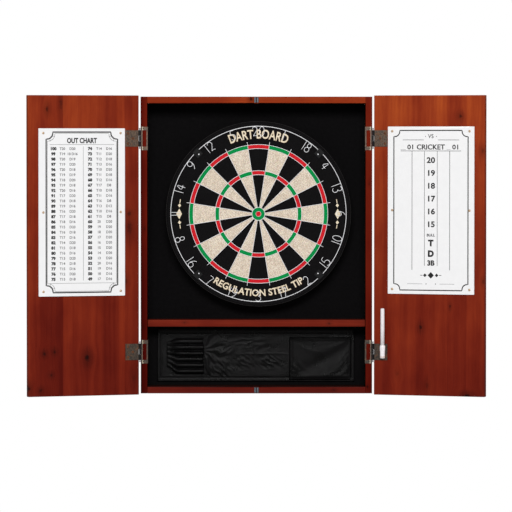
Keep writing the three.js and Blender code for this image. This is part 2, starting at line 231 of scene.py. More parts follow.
def stained_pine(name, light, along="Z", turn=0.0, origin=(0, 0, 0), knots=(), levels=None, inside=None,
                 specular=0.05):
    """Glued-up pine under a red-brown stain: soft streaks, fine fibres, knots, and redder where darker, with
    painted light making it lighter towards the top.

    light is the mean reflectance, and inside is (axis, limit, colour) where the wood nearer the middle than
    that limit takes that colour as painted shade, for the case's inner faces."""
    s = Shader(name, (0.2, 0.02, 0.01, 1), 0.4, specular=specular)
    own = s.place(turn, origin)
    x, y, z = s.split(own)
    across, length = (x, z) if along == "Z" else (z, x)
    drawn, dark = knots_in(s, across, length, knots)

    slow = s.noise(s.join(s.times(across, 7.0), s.times(y, 7.0), s.times(length, 2.1)), detail=2)
    warped = s.plus(drawn, s.times(slow, 0.03))
    broad = s.noise(s.join(s.times(warped, 46.0), s.times(y, 40.0), s.times(length, 1.1)), detail=3)
    streak = s.noise(s.join(s.times(warped, 150.0), s.times(y, 120.0), s.times(length, 2.2)), detail=3)
    fibre = s.noise(s.join(s.times(warped, 900.0), s.times(y, 700.0), s.times(length, 22.0)), detail=2)
    cloud = s.noise(s.join(s.times(across, 16.0), s.times(y, 12.0), s.times(length, 8.0)), detail=3)

    # Painted light: lighter towards the top and darker towards the bottom, standing in for light from above.
    level = s.times(s.plus(s.times(z, PAINTED_TOP_LIGHT / DOOR_TOP), 1.0), light)
    if levels:
        level = s.times(level, board_levels(s, across, levels))
    level = s.times(level, s.rise(broad, 0.25, 0.75, 0.87, 1.13))
    level = s.times(level, s.rise(streak, 0.25, 0.75, 0.94, 1.06))
    level = s.times(level, s.rise(fibre, 0.2, 0.8, 1.08, 0.92))
    level = s.times(level, s.rise(cloud, 0.2, 0.8, 0.8, 1.2))
    green = s.times(level, s.plus(s.times(level, 0.33), 0.04))
    wood = s.join(level, green, s.times(level, 0.036))
    wood = s.mix(dark, wood, KNOT)
    # Painted shade: the inner faces take a near-black or dark brown colour for the shade inside the case.
    if inside:
        axis, limit, stain = inside
        near = {"X": s.sum("ABSOLUTE", x), "top": z, "bottom": s.times(z, -1)}[axis]
        wood = s.mix(s.rise(near, limit - 0.0001, limit + 0.0001, 1.0, 0.0), wood, stain)
    s.colour(wood)
    s.rough(s.rise(streak, 0.3, 0.8, 0.34, 0.44))
    return s.bump(s.plus(s.times(fibre, 0.6), s.times(streak, 0.8)), 0.2, 0.0004)


def speckled(name, colour, other, rough, grain, bump=0.3, **levels):
    """A matt or mottled finish of two close colours, with a fine grain that is bumped too."""
    s = Shader(name, colour, rough, **levels)
    coords = s.place()
    fine = s.noise(coords, scale=1 / grain, detail=3, rough=0.65)
    broad = s.noise(coords, scale=0.12 / grain, detail=2)
    blend = s.rise(s.plus(s.times(fine, 0.65), s.times(broad, 0.35)), 0.36, 0.64)
    s.colour(s.mix(blend, colour, other))
    s.rough(s.rise(fine, 0.2, 0.8, rough * 0.88, min(1.0, rough * 1.12)))
    return s.bump(fine, bump, 0.0003)


def bristle(name, colour, fleck):
    """Pressed sisal: cut fibre ends, flecks a few millimetres across, and soft clouds of tone."""
    s = Shader(name, colour, 0.9, specular=0.06)
    coords = s.place()
    ends = s.node("TexVoronoi", {"Vector": coords, "Scale": 1300.0})
    fluff = s.noise(coords, scale=520.0, detail=4, rough=0.75)
    cloud = s.noise(coords, scale=60.0, detail=3)
    hue = s.node("TexNoise", {"Vector": coords, "Scale": 380.0, "Detail": 2.0}, output=1)
    height = s.plus(s.times(ends, 0.5), fluff)
    blend = s.plus(s.times(fluff, 0.88), s.times(cloud, 0.12))
    dyed = s.mix(s.rise(blend, 0.41, 0.59), colour, fleck)
    tint = s.mix(1.0, s.mix(0.5, (1, 1, 1, 1), hue), (1.34, 1.34, 1.34, 1), "MULTIPLY")
    s.colour(s.mix(0.55, dyed, s.mix(1.0, dyed, tint, "MULTIPLY")))
    return s.bump(height, 0.35, 0.0004)


def woven(name, colour, worn, pitch, rough=0.5, **levels):
    """Close plain-weave cloth: two crossing sets of threads, and a slow change of tone."""
    s = Shader(name, colour, rough, **levels)
    coords = s.place()
    x, y, z = s.split(coords)
    turns = 2 * math.pi / pitch
    warp = s.sum("SINE", s.times(x, turns))
    weft = s.sum("SINE", s.times(s.plus(z, s.times(y, 0.7)), turns))
    threads = s.times(warp, weft)
    slow = s.noise(coords, scale=28.0, detail=3)
    s.colour(s.mix(s.rise(slow, 0.3, 0.7), colour, worn))
    s.rough(s.rise(slow, 0.3, 0.7, rough * 0.85, rough * 1.15))
    return s.bump(threads, 0.22, 0.00025)


def brushed(name, colour, other, rough, **levels):
    """Metal with a faint mottle and fine scratches along Z."""
    s = Shader(name, colour, rough, **levels)
    coords = s.place()
    x, y, z = s.split(coords)
    scratch = s.noise(s.join(s.times(x, 2600.0), s.times(y, 2600.0), s.times(z, 160.0)), detail=2)
    mottle = s.noise(coords, scale=1 / 0.0015, detail=4, rough=0.6)
    s.colour(s.mix(s.rise(mottle, 0.34, 0.66), colour, other))
    s.rough(s.rise(s.plus(s.times(scratch, 0.5), s.times(mottle, 0.5)), 0.3, 0.7, rough * 0.8, rough * 1.25))
    return s.bump(scratch, 0.12, 0.0001)


def hinge_bronze(name, colour, other):
    """Mottled antique brass, with painted shade making it nearly black round the knuckles and a painted
    highlight in a bright line beside them.
    """
    s = Shader(name, colour, 0.44, metallic=0.3)
    coords = s.place()
    x, y, _ = s.split(coords)
    aside = s.sum("SUBTRACT", s.sum("ABSOLUTE", x), PIN["door_right"].x)
    ahead = s.sum("SUBTRACT", y, PIN["door_right"].y)
    away = s.node("VectorMath", {0: s.join(aside, ahead, 0.0)}, output=1, operation="LENGTH")
    mottle = s.noise(coords, scale=330.0, detail=4, rough=0.65)
    rust = s.noise(coords, scale=140.0, detail=2)
    metal = s.mix(s.rise(mottle, 0.36, 0.64), colour, other)
    metal = s.mix(s.rise(rust, 0.56, 0.68, 0.0, 0.6), metal, tone(112, 72, 44))
    # Painted highlight: a bright line on the case leaf beside the knuckle, where its edge catches the light.
    painted_highlight = s.times(s.rise(away, 5.6 * MM, 6.2 * MM), s.rise(away, 7.6 * MM, 8.4 * MM, 1.0, 0.0))
    metal = s.mix(s.times(painted_highlight, s.rise(s.times(aside, -1), 0.0, 0.001)), metal, tone(186, 170, 146))
    # Painted shade: nearly black round the knuckles.
    metal = s.mix(s.rise(away, 3.0 * MM, 4.6 * MM, 1.0, 0.0), metal, tone(6, 5, 5))
    s.colour(metal)
    s.rough(s.rise(mottle, 0.3, 0.7, 0.36, 0.52))
    return s.bump(mottle, 0.2, 0.0002)


def smooth_plastic(name, colour, other, rough, **levels):
    """Moulded plastic, its gloss a little uneven."""
    s = Shader(name, colour, rough, **levels)
    coords = s.place()
    slow = s.noise(coords, scale=60.0, detail=3)
    fine = s.noise(coords, scale=2200.0, detail=2)
    s.colour(s.mix(s.rise(slow, 0.3, 0.7), colour, other))
    s.rough(s.rise(slow, 0.3, 0.7, rough * 0.85, rough * 1.15))
    return s.bump(fine, 0.05, 0.0001)


def make_materials():
    return {
        "felt": speckled("black_felt", tone(9, 8, 9), tone(15, 14, 15), 0.95, 0.0009, 0.5, specular=0.05),
        "hardboard": speckled("hardboard", tone(112, 82, 58), tone(82, 58, 40), 0.8, 0.0018, 0.2,
                              specular=0.25),
        "black": bristle("bristle_black", tone(11, 10, 11), tone(20, 19, 20)),
        "cream": bristle("bristle_cream", tone(236, 225, 207), tone(184, 164, 145)),
        "red": bristle("bristle_red", tone(214, 36, 44), tone(186, 28, 38)),
        "green": bristle("bristle_green", tone(10, 146, 72), tone(6, 124, 62)),
        "wire": brushed("bright_wire", tone(250, 250, 252), tone(232, 232, 236), 0.34, metallic=0.1),
        "band": brushed("black_steel", tone(24, 20, 19), tone(15, 13, 13), 0.5, specular=0.2),
        # Painted light: the upper hinges' brass is a lit copy and the lower hinges' a darker, shaded copy of
        # one brass.
        "bronze_upper": hinge_bronze("antique_brass_lit_upper", tone(112, 92, 76), tone(62, 52, 45)),
        "bronze_lower": hinge_bronze("antique_brass_shaded_lower", tone(84, 70, 58), tone(40, 34, 30)),
        "bronze_dark": brushed("antique_brass_dark", tone(20, 17, 16), tone(12, 10, 10), 0.5, specular=0.2),
        "screw": brushed("screw_brass", tone(112, 66, 36), tone(70, 42, 26), 0.42, metallic=0.4),
        "brass": brushed("brass_pin", tone(206, 184, 158), tone(176, 142, 108), 0.36, metallic=0.35),
        "zinc": brushed("zinc_steel", tone(170, 172, 174), tone(140, 142, 146), 0.36, metallic=0.75),
        "pole": brushed("pole_plate", tone(104, 112, 120), tone(82, 90, 98), 0.42, metallic=0.5),
        "magnet": speckled("ferrite", tone(44, 48, 52), tone(32, 35, 38), 0.6, 0.0008, specular=0.3),
        "white": smooth_plastic("scoreboard_white", tone(245, 245, 246), tone(243, 243, 244), 0.22,
                                specular=0.35, coat=0.25, coat_rough=0.08),
        "white_plastic": smooth_plastic("marker_white", tone(243, 240, 243), tone(236, 232, 236), 0.3,
                                        specular=0.45),
        "tan": smooth_plastic("marker_ring", tone(196, 158, 132), tone(180, 142, 118), 0.4, specular=0.4),
        "black_plastic": smooth_plastic("black_plastic", tone(11, 11, 12), tone(16, 16, 17), 0.5,
                                        specular=0.15),
        "rubber": speckled("rubber", tone(24, 24, 25), tone(33, 33, 34), 0.8, 0.0007, specular=0.3),
        "nib": speckled("marker_felt", tone(24, 24, 26), tone(38, 38, 40), 0.95, 0.0004, 0.6, specular=0.1),
        "nylon": woven("black_nylon", tone(6, 6, 6), tone(10, 9, 10), 0.0009, 0.31, specular=0.085),
        # Near-black matt tape; on the pocket it is painted shade for the gap of its mouth and the shadow
        # along its left edge.
        "tape_and_shade": speckled("matt_tape", tone(5, 5, 5), tone(9, 9, 9), 0.9, 0.0006, specular=0.03),
        "thread": smooth_plastic("thread_black", tone(22, 22, 23), tone(34, 34, 35), 0.6, specular=0.3),
        "ink": smooth_plastic("ink_black", tone(20, 20, 21), tone(28, 28, 29), 0.5, specular=0.2),
        "ink_grey": smooth_plastic("ink_grey", tone(70, 70, 73), tone(82, 82, 85), 0.5, specular=0.2),
        "print": speckled("number_band_print", tone(240, 228, 204), tone(214, 196, 166), 0.75, 0.0012,
                          specular=0.15),
        "print_shade": speckled("number_band_shade", tone(120, 84, 50), tone(92, 62, 38), 0.75, 0.0012,
                                specular=0.15),
    }


# ---------------------------------------------------------------- shapes


def shape(points, faces):
    return np.array(points, float).reshape(-1, 3), [tuple(f) for f in faces]


def together(shapes):
    """Several shapes as one."""
    points, faces, used = [], [], 0
    for own_points, own_faces in shapes:
        points.append(own_points)
        faces += [tuple(i + used for i in face) for face in own_faces]
        used += len(own_points)
    return np.concatenate(points), faces


def moved(one, matrix):
    points, faces = one
    turned = points @ np.array(matrix.to_3x3()).T + np.array(matrix.translation)
    return turned, faces


def lathe(profile, segments=32, axis="Y"):
    """A profile of (radius, depth) pairs turned round Y, or round Z; a radius of zero is one point."""
    points, rings = [], []
    for radius, depth in profile:
        count = 1 if radius < 1e-9 else segments
        ring = []
        for i in range(count):
            angle = 2 * math.pi * i / segments
            a, b = radius * math.cos(angle), radius * math.sin(angle)
            ring.append(len(points))
            points.append((a, depth, b) if axis == "Y" else (a, b, depth))
        rings.append(ring)
    faces = []
    for first, second in zip(rings, rings[1:]):
        for i in range(segments):
            a, b = first[i % len(first)], first[(i + 1) % len(first)]
            c, d = second[(i + 1) % len(second)], second[i % len(second)]
            corners = list(dict.fromkeys((a, d, c, b) if axis == "Y" else (a, b, c, d)))
            if len(corners) > 2:
                faces.append(corners)
    return shape(points, faces)


def tube(path, radius, sides=8, closed=False, up=(0, 1, 0)):
    """A round wire along a path that lies square to up, with capped ends unless it is closed."""
    path = np.array(path, float)
    up = np.array(up, float)
    if closed:
        ahead = np.roll(path, -1, 0) - np.roll(path, 1, 0)
    else:
        ahead = np.gradient(path, axis=0)
    ahead /= np.linalg.norm(ahead, axis=1)[:, None]
    aside = np.cross(ahead, up)
    aside /= np.linalg.norm(aside, axis=1)[:, None]
    above = np.cross(aside, ahead)
    count = len(path)
    points = []
    for k in range(sides):
        angle = 2 * math.pi * k / sides
        points.append(path + radius * (math.cos(angle) * above + math.sin(angle) * aside))
    points = np.stack(points, axis=1).reshape(-1, 3)
    faces = []
    for i in range(count if closed else count - 1):
        j = (i + 1) % count
        for k in range(sides):
            n = (k + 1) % sides
            faces.append((i * sides + k, j * sides + k, j * sides + n, i * sides + n))
    if not closed:
        faces.append(tuple(range(sides)))
        faces.append(tuple(reversed(range((count - 1) * sides, count * sides))))
    return shape(points, faces)


def box(low, high):
    x, y, z = zip(low, high)
    points = [(x[i], y[j], z[k]) for i in (0, 1) for j in (0, 1) for k in (0, 1)]
    faces = [(0, 1, 3, 2), (4, 6, 7, 5), (0, 4, 5, 1), (2, 3, 7, 6), (0, 2, 6, 4), (1, 5, 7, 3)]
    return shape(points, faces)


def grid(rows):
    """A sheet of quads from equal rows of points."""
    rows = np.array(rows, float)
    down, across = rows.shape[:2]
    faces = []
    for i in range(down - 1):
        for j in range(across - 1):
            a = i * across + j
            faces.append((a, a + 1, a + across + 1, a + across))
    return shape(rows.reshape(-1, 3), faces)


def arc(x, y, wide, high, start, end, steps=10):
    """Points of an ellipse arc, from start to end in degrees."""
    angles = np.radians(np.linspace(start, end, steps + 1))
    return [(x + wide * math.cos(a), y + high * math.sin(a)) for a in angles]


def stroke(points, width, closed=False):
    """A printed line of even width along points in XY, facing +Z."""
    path = np.array(points, float)
    if closed:
        ahead = np.roll(path, -1, 0) - np.roll(path, 1, 0)
    else:
        ahead = np.gradient(path, axis=0)
    ahead /= np.linalg.norm(ahead, axis=1)[:, None]
    aside = np.stack([-ahead[:, 1], ahead[:, 0]], axis=1) * width / 2
    count = len(path)
    flat = [path + aside, path - aside]
    layers = [np.column_stack([p, np.full(count, z)]) for z in (INK, -INK) for p in flat]
    points = np.stack(layers, axis=1).reshape(-1, 3)
    faces = []
    for i in range(count if closed else count - 1):
        a, b = 4 * i, 4 * ((i + 1) % count)
        faces += [(a, a + 1, b + 1, b), (a + 2, b + 2, b + 3, a + 3)]
        faces += [(a, b, b + 2, a + 2), (a + 1, a + 3, b + 3, b + 1)]
    if not closed:
        end = 4 * (count - 1)
        faces += [(0, 2, 3, 1), (end, end + 1, end + 3, end + 2)]
    return shape(points, faces)


def plate(outline):
    """A printed area inside an outline in XY, facing +Z."""
    count = len(outline)
    points = [(x, y, z) for z in (INK, -INK) for x, y in outline]
    faces = [tuple(range(count)), tuple(reversed(range(count, 2 * count)))]
    for i in range(count):
        j = (i + 1) % count
        faces.append((i, i + count, j + count, j))
    return shape(points, faces)


def loose_object(name, form):
    """A plain object for a step that needs one, to be removed again."""
    points, faces = form
    mesh = bpy.data.meshes.new(name)
    mesh.from_pydata([tuple(p) for p in points], [], faces)
    made = bpy.data.objects.new(name, mesh)
    bpy.context.scene.collection.objects.link(made)
    return made


def evaluated_form(obj):
    """The points and faces of an object with its modifiers applied."""
    mesh = bpy.data.meshes.new_from_object(obj.evaluated_get(bpy.context.evaluated_depsgraph_get()))
    points = np.array([v.co for v in mesh.vertices], float).reshape(-1, 3)
    faces = [tuple(p.vertices) for p in mesh.polygons]
    bpy.data.meshes.remove(mesh)
    return points, faces


def lettering(words, size, at=(0, 0), weight=0.0, narrow=1.0):
    """A line of plain lettering in XY, facing +Z, with its middle at the given place."""
    font = bpy.data.curves.new("lettering", "FONT")
    font.body = words
    font.size = size
    font.align_x = "CENTER"
    font.align_y = "CENTER"
    font.offset = weight
    font.extrude = INK
    font.resolution_u = 3
    writing = bpy.data.objects.new("lettering", font)
    bpy.context.scene.collection.objects.link(writing)
    points, faces = evaluated_form(writing)
    bpy.data.objects.remove(writing)
    bpy.data.curves.remove(font)
    points[:, 0] = points[:, 0] * narrow + at[0]
    points[:, 1] += at[1]
    return points, faces


def bent(one, angle, radius, outward):
    """A flat shape in XY laid on the dart board round an arc, its letters' tops outward or inward."""
    points, faces = one
    sign = 1 if outward else -1
    turn = angle + sign * points[:, 0] / radius
    reach = radius + sign * points[:, 1]
    placed = np.stack([reach * np.sin(turn), -points[:, 2], reach * np.cos(turn)], axis=1)
    return placed, faces


# ---------------------------------------------------------------- pieces


def piece(name, form, material, body, stands_for=(), smooth=False, at=None):
    """A new object that rides on a body. material is one, or (materials, index of each face)."""
    points, faces = form
    mesh = bpy.data.meshes.new(name)
    mesh.from_pydata([tuple(p) for p in points], [], faces)
    materials, indices = material if isinstance(material, tuple) else ([material], None)
    for one in materials:
        mesh.materials.append(one)
    if indices is not None:
        mesh.polygons.foreach_set("material_index", indices)
    if smooth:
        mesh.shade_smooth()
    mesh.update()
    made = bpy.data.objects.new(name, mesh)
    bpy.context.scene.collection.objects.link(made)
    if at is not None:
        mesh.transform(at)
    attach(made, body)
    if stands_for:
        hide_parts(*stands_for)
    return made


def bevel(obj, width, segments=2):
    made = obj.modifiers.new("eased", "BEVEL")
    made.width = width
    made.segments = segments
    made.limit_method = "ANGLE"
    made.angle_limit = math.radians(35)


def dress(name, material, eased=0.0, segments=2):
    """Gives a CAD node its material, and eases its edges once its split corners are welded."""
    node = frame["nodes"][name]
    node.data.materials.clear()
    node.data.materials.append(material)
    if eased:
        weld = node.modifiers.new("weld", "WELD")
        weld.merge_threshold = 0.00001
        bevel(node, eased, segments)


# ---------------------------------------------------------------- the wooden case and doors

# The doors' knots, and how light their planks are across, both in metres from the hinge line.
DOOR_KNOTS = {
    "left": [
        (-0.236, 0.332, 0.005, 0.010, 0.75),
        (-0.201, 0.345, 0.005, 0.018, 0.6),
        (-0.027, 0.077, 0.007, 0.007, 0.75),
        (-0.026, 0.044, 0.009, 0.022, 0.62),
        (-0.035, -0.088, 0.005, 0.010, 0.6),
        (-0.244, -0.262, 0.006, 0.006, 0.85),
        (-0.218, -0.257, 0.005, 0.006, 0.8),
        (-0.135, -0.273, 0.008, 0.012, 1.0),
        (-0.226, -0.314, 0.005, 0.005, 0.75),
        (-0.283, -0.346, 0.005, 0.011, 0.9),
        (-0.253, -0.351, 0.006, 0.006, 0.7),
        (-0.015, -0.326, 0.007, 0.015, 0.3),
    ],
    "right": [
        (0.223, 0.315, 0.006, 0.007, 0.8),
        (0.280, 0.231, 0.005, 0.009, 0.6),
        (0.197, -0.147, 0.003, 0.006, 0.75),
        (0.122, -0.199, 0.005, 0.008, 0.9),
        (0.281, -0.086, 0.004, 0.008, 0.6),
        (0.239, -0.364, 0.012, 0.006, 1.0),
        (0.139, -0.341, 0.006, 0.011, 0.4),
        (0.062, -0.314, 0.006, 0.008, 0.3),
    ],
}
DOOR_LEVELS = {
    "left": [
        (-0.286, 1.7), (-0.279, 1.3), (-0.268, 1.04), (-0.245, 0.87), (-0.1965, 0.74), (-0.1960, 1.16),
        (-0.165, 1.2), (-0.120, 1.12), (-0.090, 0.9), (-0.062, 0.87), (-0.050, 1.22), (-0.0385, 1.18),
        (-0.0380, 0.97), (0.0, 0.92),
    ],
    "right": [
        (0.0, 1.1), (0.010, 1.15), (0.032, 0.95), (0.060, 1.2), (0.085, 1.15), (0.114, 0.88),
        (0.142, 1.05), (0.180, 1.15), (0.1890, 1.08), (0.1895, 0.9), (0.228, 0.83), (0.2385, 0.9),
        (0.2390, 1.08), (0.248, 1.12), (0.256, 1.0), (0.286, 1.12),
    ],
}
DOOR_LIGHT = {"left": 0.176, "right": 0.203}


def door_frame(name):
    """The flat door's own frame: its origin on the hinge line and its inner face towards -Y."""
    turn = Matrix.Rotation(-SIDES[name] * FORWARD, 4, "Z")
    return Matrix.Translation(PIN[f"door_{name}"]) @ turn


def dress_doors():
    for name, side in SIDES.items():
        wood = stained_pine(f"pine_door_{name}", DOOR_LIGHT[name], turn=-side * FORWARD,
                            origin=PIN[f"door_{name}"], knots=DOOR_KNOTS[name], levels=DOOR_LEVELS[name])
        dress(f"door_{name}", wood, 0.0012, 3)


def dress_case():
    low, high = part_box("side_board_right")
    inner, outer, top = low.x, high.x, high.z
    knots = {
        "left": [(-0.274, 0.04, 0.004, 0.006, 0.5), (-0.277, -0.2, 0.003, 0.005, 0.5)],
        "right": [(0.276, 0.15, 0.003, 0.006, 0.5), (0.272, -0.347, 0.004, 0.004, 0.8)],
    }
    levels = {
        "left": [(-outer, 0.45), (-outer + 0.005, 0.85), (-inner, 1.25)],
        "right": [(inner, 1.1), (outer - 0.004, 1.0), (outer, 0.6)],
    }
    # Gloss is left off the case, whose upper faces would mirror the key light from behind.
    # Their inner faces get painted shade: near black on the side boards and under the top board, dark brown
    # on the bottom board's top face.
    for name, light in (("left", 0.087), ("right", 0.12)):
        wood = stained_pine(f"pine_side_{name}", light, knots=knots[name], levels=levels[name],
                            inside=("X", inner + 0.0002, PAINTED_SHADE_BLACK), specular=0.0)
        dress(f"side_board_{name}", wood, 0.001, 3)
    ceiling = top - (outer - inner) + 0.0002
    top_wood = stained_pine("pine_top", 0.2, along="X", knots=[(top - 0.006, -0.013, 0.006, 0.005, 1.0)],
                            inside=("top", ceiling, PAINTED_SHADE_BLACK), specular=0.0)
    bottom_knots = [(-top + 0.008, 0.19, 0.004, 0.004, 0.6)]
    bottom_wood = stained_pine("pine_bottom", 0.14, along="X", knots=bottom_knots,
                               inside=("bottom", ceiling, PAINTED_SHADE_BROWN))
    shelf_knots = [(-0.193, 0.178, 0.004, 0.004, 0.7), (-0.19, -0.176, 0.003, 0.004, 0.5)]
    shelf_wood = stained_pine("pine_divider", 0.18, along="X", knots=shelf_knots)
    for name, wood in (("top_board", top_wood), ("bottom_board", bottom_wood), ("bay_divider", shelf_wood)):
        dress(name, wood, 0.001, 3)
    dress("back_panel", MATERIALS["hardboard"])
    dress("upper_bay_lining", MATERIALS["felt"])
    dress("lower_bay_lining", MATERIALS["felt"])


def magnetic_catches():
    """Each catch is a dark magnet between two steel pole plates, let into the board's front edge."""
    for name in ("top", "bottom"):
        low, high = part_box(f"magnetic_catch_{name}")
        third = (high.x - low.x) / 3
        gap = 0.1 * MM
        parts = []
        for i in range(3):
            front = low.y + (0.4 * MM if i == 1 else 0)
            start = low.x + i * third + gap
            parts.append(box((start, front, low.z), (start + third - 2 * gap, high.y, high.z)))
        indices = [int(i // 6 == 1) for i in range(18)]
        materials = ([MATERIALS["pole"], MATERIALS["magnet"]], indices)
        made = piece(f"catch_{name}", together(parts), materials, "case",
                     [f"magnetic_catch_{name}"])
        bevel(made, 0.3 * MM)


# ---------------------------------------------------------------- hinges, screws and pins


def screw_head(radius, height):
    """A domed screw head facing -Y with a cross cut into it."""
    dome = [(0, -height), (radius * 0.45, -height * 0.92), (radius * 0.8, -height * 0.6),
            (radius, -height * 0.15), (radius, 0), (0, 0)]
    head = loose_object("head", lathe(dome, 28))
    arm, half = radius * 0.55, radius * 0.13
    low, high = -height * 1.5, -height * 0.35
    cross = together([box((-arm, low, -half), (arm, high, half)), box((-half, low, -arm), (half, high, arm))])
    cutter = loose_object("cutter", cross)
    cut = head.modifiers.new("cross", "BOOLEAN")
    cut.operation = "DIFFERENCE"
    cut.use_self = True
    cut.object = cutter
    form = evaluated_form(head)
    for one in (head, cutter):
        bpy.data.objects.remove(one)
    return form


# Where the hinges' fixings are, in millimetres up from the middle of each hinge and across from the
# hinge line, from the middle of the case, or back from its front edge.
LEAF_SCREWS = ((30.5, 12.5), (30.5, -12.5), (18.2, 0))
NAIL_ACROSS, NAIL_UP = 276.5, 24.2
FLANGE_BACK, FLANGE_UP = 14, 19


def dress_hinges():
    screw = screw_head(3.4 * MM, 0.34 * MM)
    nail = screw_head(1.3 * MM, 0.3 * MM)
    leaf_front = 0.2 * MM  # the door leaf's front, from the hinge line
    frame_front = CASE_FRONT - 1.3 * MM
    for name, side in SIDES.items():
        inward = Matrix.Rotation(-side * math.pi / 2, 4, "Z")
        for level in ("upper", "lower"):
            hinge = f"hinge_{level}_{name}"
            pin_low, pin_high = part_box(f"{hinge}_pin")
            z = (pin_low.z + pin_high.z) / 2
            for leaf in ("door_leaf", "case_leaf"):
                # Painted light: upper hinges take the lit copy of the brass, lower ones the shaded copy.
                dress(f"{hinge}_{leaf}", MATERIALS[f"bronze_{level}"], 0.25 * MM)
            dress(f"{hinge}_pin", MATERIALS["bronze_dark"], 0.2 * MM)
            for i, (across, up) in enumerate(LEAF_SCREWS):
                turn = Matrix.Rotation(0.7 * i + 0.3, 4, "Y")
                place = Matrix.Translation((side * across * MM, leaf_front, z + up * MM)) @ turn
                piece(f"{hinge}_screw_{i + 1}", screw, MATERIALS["screw"], f"door_{name}",
                      at=door_frame(name) @ place)
            leaf_low, leaf_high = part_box(f"{hinge}_case_leaf")
            inner = leaf_low.x if side > 0 else leaf_high.x
            for i, up in enumerate((1, -1)):
                at = Matrix.Translation((side * NAIL_ACROSS * MM, frame_front, z + up * NAIL_UP * MM))
                piece(f"{hinge}_nail_{i + 1}", nail, MATERIALS["bronze_dark"], "case", at=at)
                place = (inner, CASE_FRONT + FLANGE_BACK * MM, z + up * FLANGE_UP * MM)
                piece(f"{hinge}_flange_screw_{i + 1}", screw, MATERIALS["screw"], "case",
                      at=Matrix.Translation(place) @ inward)


# ---------------------------------------------------------------- the scoreboards

BOARD_MIDDLE = 148.7 * MM  # from the hinge line
BOARD_FRONT = -1.8 * MM  # the white face, in front of the hinge line's plane


def board_frame(name):
    """The white face's own frame: X right, Y up and Z towards the player, with its origin in the middle."""
    low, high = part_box(f"scoreboard_{name}")
    middle = Matrix.Translation((SIDES[name] * BOARD_MIDDLE, BOARD_FRONT, (low.z + high.z) / 2))
    return door_frame(name) @ middle @ Matrix.Rotation(math.pi / 2, 4, "X")


def notched_border(half_width, half_height, notch, step):
    """A rectangle in XY whose corners are scooped out, with a small step each side of the scoop."""
    corner = [(half_width, half_height - notch - step)]
    corner += arc(half_width - step, half_height - step, notch, notch, 270, 180, 10)
    corner += [(half_width - notch - step, half_height)]
    path = []
    for i, (x, y) in enumerate(((1, 1), (-1, 1), (-1, -1), (1, -1))):
        own = [(x * px, y * py) for px, py in corner]
        path += own if i % 2 == 0 else own[::-1]
    return path


def printed(name, shapes, ink, side):
    """Print on one of the white faces."""
    at = board_frame(side) @ Matrix.Translation((0, 0, INK))
    return piece(name, together(shapes), MATERIALS[ink], f"door_{side}", at=at)


def rule(start, end, width):
    """A straight printed line, in millimetres."""
    return stroke([(start[0] * MM, start[1] * MM), (end[0] * MM, end[1] * MM)], width * MM)


def words(text, size, x, y, weight, narrow=1.0):
    """A line of print with its middle at (x, y), in millimetres."""
    return lettering(text, size * MM, (x * MM, y * MM), weight * MM, narrow)


def border(half_width, half_height, notch, step, width):
    """A printed border with scooped corners, in millimetres."""
    path = notched_border(half_width * MM, half_height * MM, notch * MM, step * MM)
    return stroke(path, width * MM, closed=True)


def diamond(x, y, wide, high):
    """A printed diamond, in millimetres."""
    corners = [(x + wide, y), (x, y + high), (x - wide, y), (x, y - high)]
    return plate([(a * MM, b * MM) for a, b in corners])


def checkout(score):
    """A way to finish on a double from a score of 49 to 100: what to hit first, then the double."""
    if score <= 60:
        double = 20 if score > 52 else 16
        return str(score - 2 * double), f"D{double}"
    for double in (20, 16, 18, 8, 12, 19, 10, 14, 4, 6, 15, 17):
        rest = score - 2 * double
        if rest % 3 == 0 and 10 <= rest // 3 <= 20:
            return f"T{rest // 3}", f"D{double}"
    return "T19", "10 D16"


def print_out_chart():
    """The left board: a table of finishes in two columns of scores inside a scooped border."""
    lines = [border(91, 195, 14.5, 2.5, 3.0), border(88, 192, 17, 2, 0.8)]
    thin = [rule((-82, 164.6), (82, 164.6), 0.7), rule((-82, -172.4), (82, -172.4), 0.7),
            rule((3.5, 160), (3.5, -166), 0.7)]
    for x in BOTH:
        for y in BOTH:
            thin.append(rule((x * 81, y * 172), (x * 81, y * 183), 0.6))
            thin.append(rule((x * 69, y * 184), (x * 80, y * 184), 0.6))
    bold = [words("OUT CHART", 17, 0, 173.6, 0.65, 0.78)]
    light = []
    first, pitch = 154.3, 12.69
    for column, top in ((-72.8, 100), (20.5, 74)):
        for row in range(26):
            score = top - row
            y = first - row * pitch
            hit, double = checkout(score)
            bold.append(words(str(score), 9.6, column, y, 0.62, 1.08))
            light.append(words(hit, 8.8, column + 23.0, y, 0.16))
            light.append(words(double, 8.8, column + 48.5, y, 0.16))
    printed("out_chart_border", lines, "ink", "left")
    printed("out_chart_rules", thin, "ink_grey", "left")
    printed("out_chart_scores", bold, "ink", "left")
    printed("out_chart_finishes", light, "ink_grey", "left")


def score_sheet_rules():
    """The right board's columns and rules."""
    rules = []
    for side in BOTH:
        rules.append(rule((side * 18, 171.4), (side * 72, 171.4), 1.2))
        rules.append(rule((side * 48, 144), (side * 48, -145), 1.3))
        rules.append(rule((side * 16.3, 144), (side * 16.3, -135), 1.1))
        rules.append(rule((side * 22, -179), (side * 60, -179), 0.7))
    rules.append(rule((-77, 144.6), (77, 144.6), 1.2))
    rules.append(rule((-77, 147.5), (-64, 147.5), 0.7))
    rules.append(rule((40, 147.5), (50, 147.5), 0.7))
    return rules


def score_sheet_ornament():
    """A row of plain diamonds at the foot of the right board."""
    shapes = [diamond(0, -158, 8, 8)]
    for side in BOTH:
        shapes.append(diamond(side * 15, -158, 4.5, 4.5))
        shapes.append(rule((side * 21, -158), (side * 27, -158), 1.4))
        shapes.append(diamond(side * 12, -179, 1.5, 1.5))
    return shapes


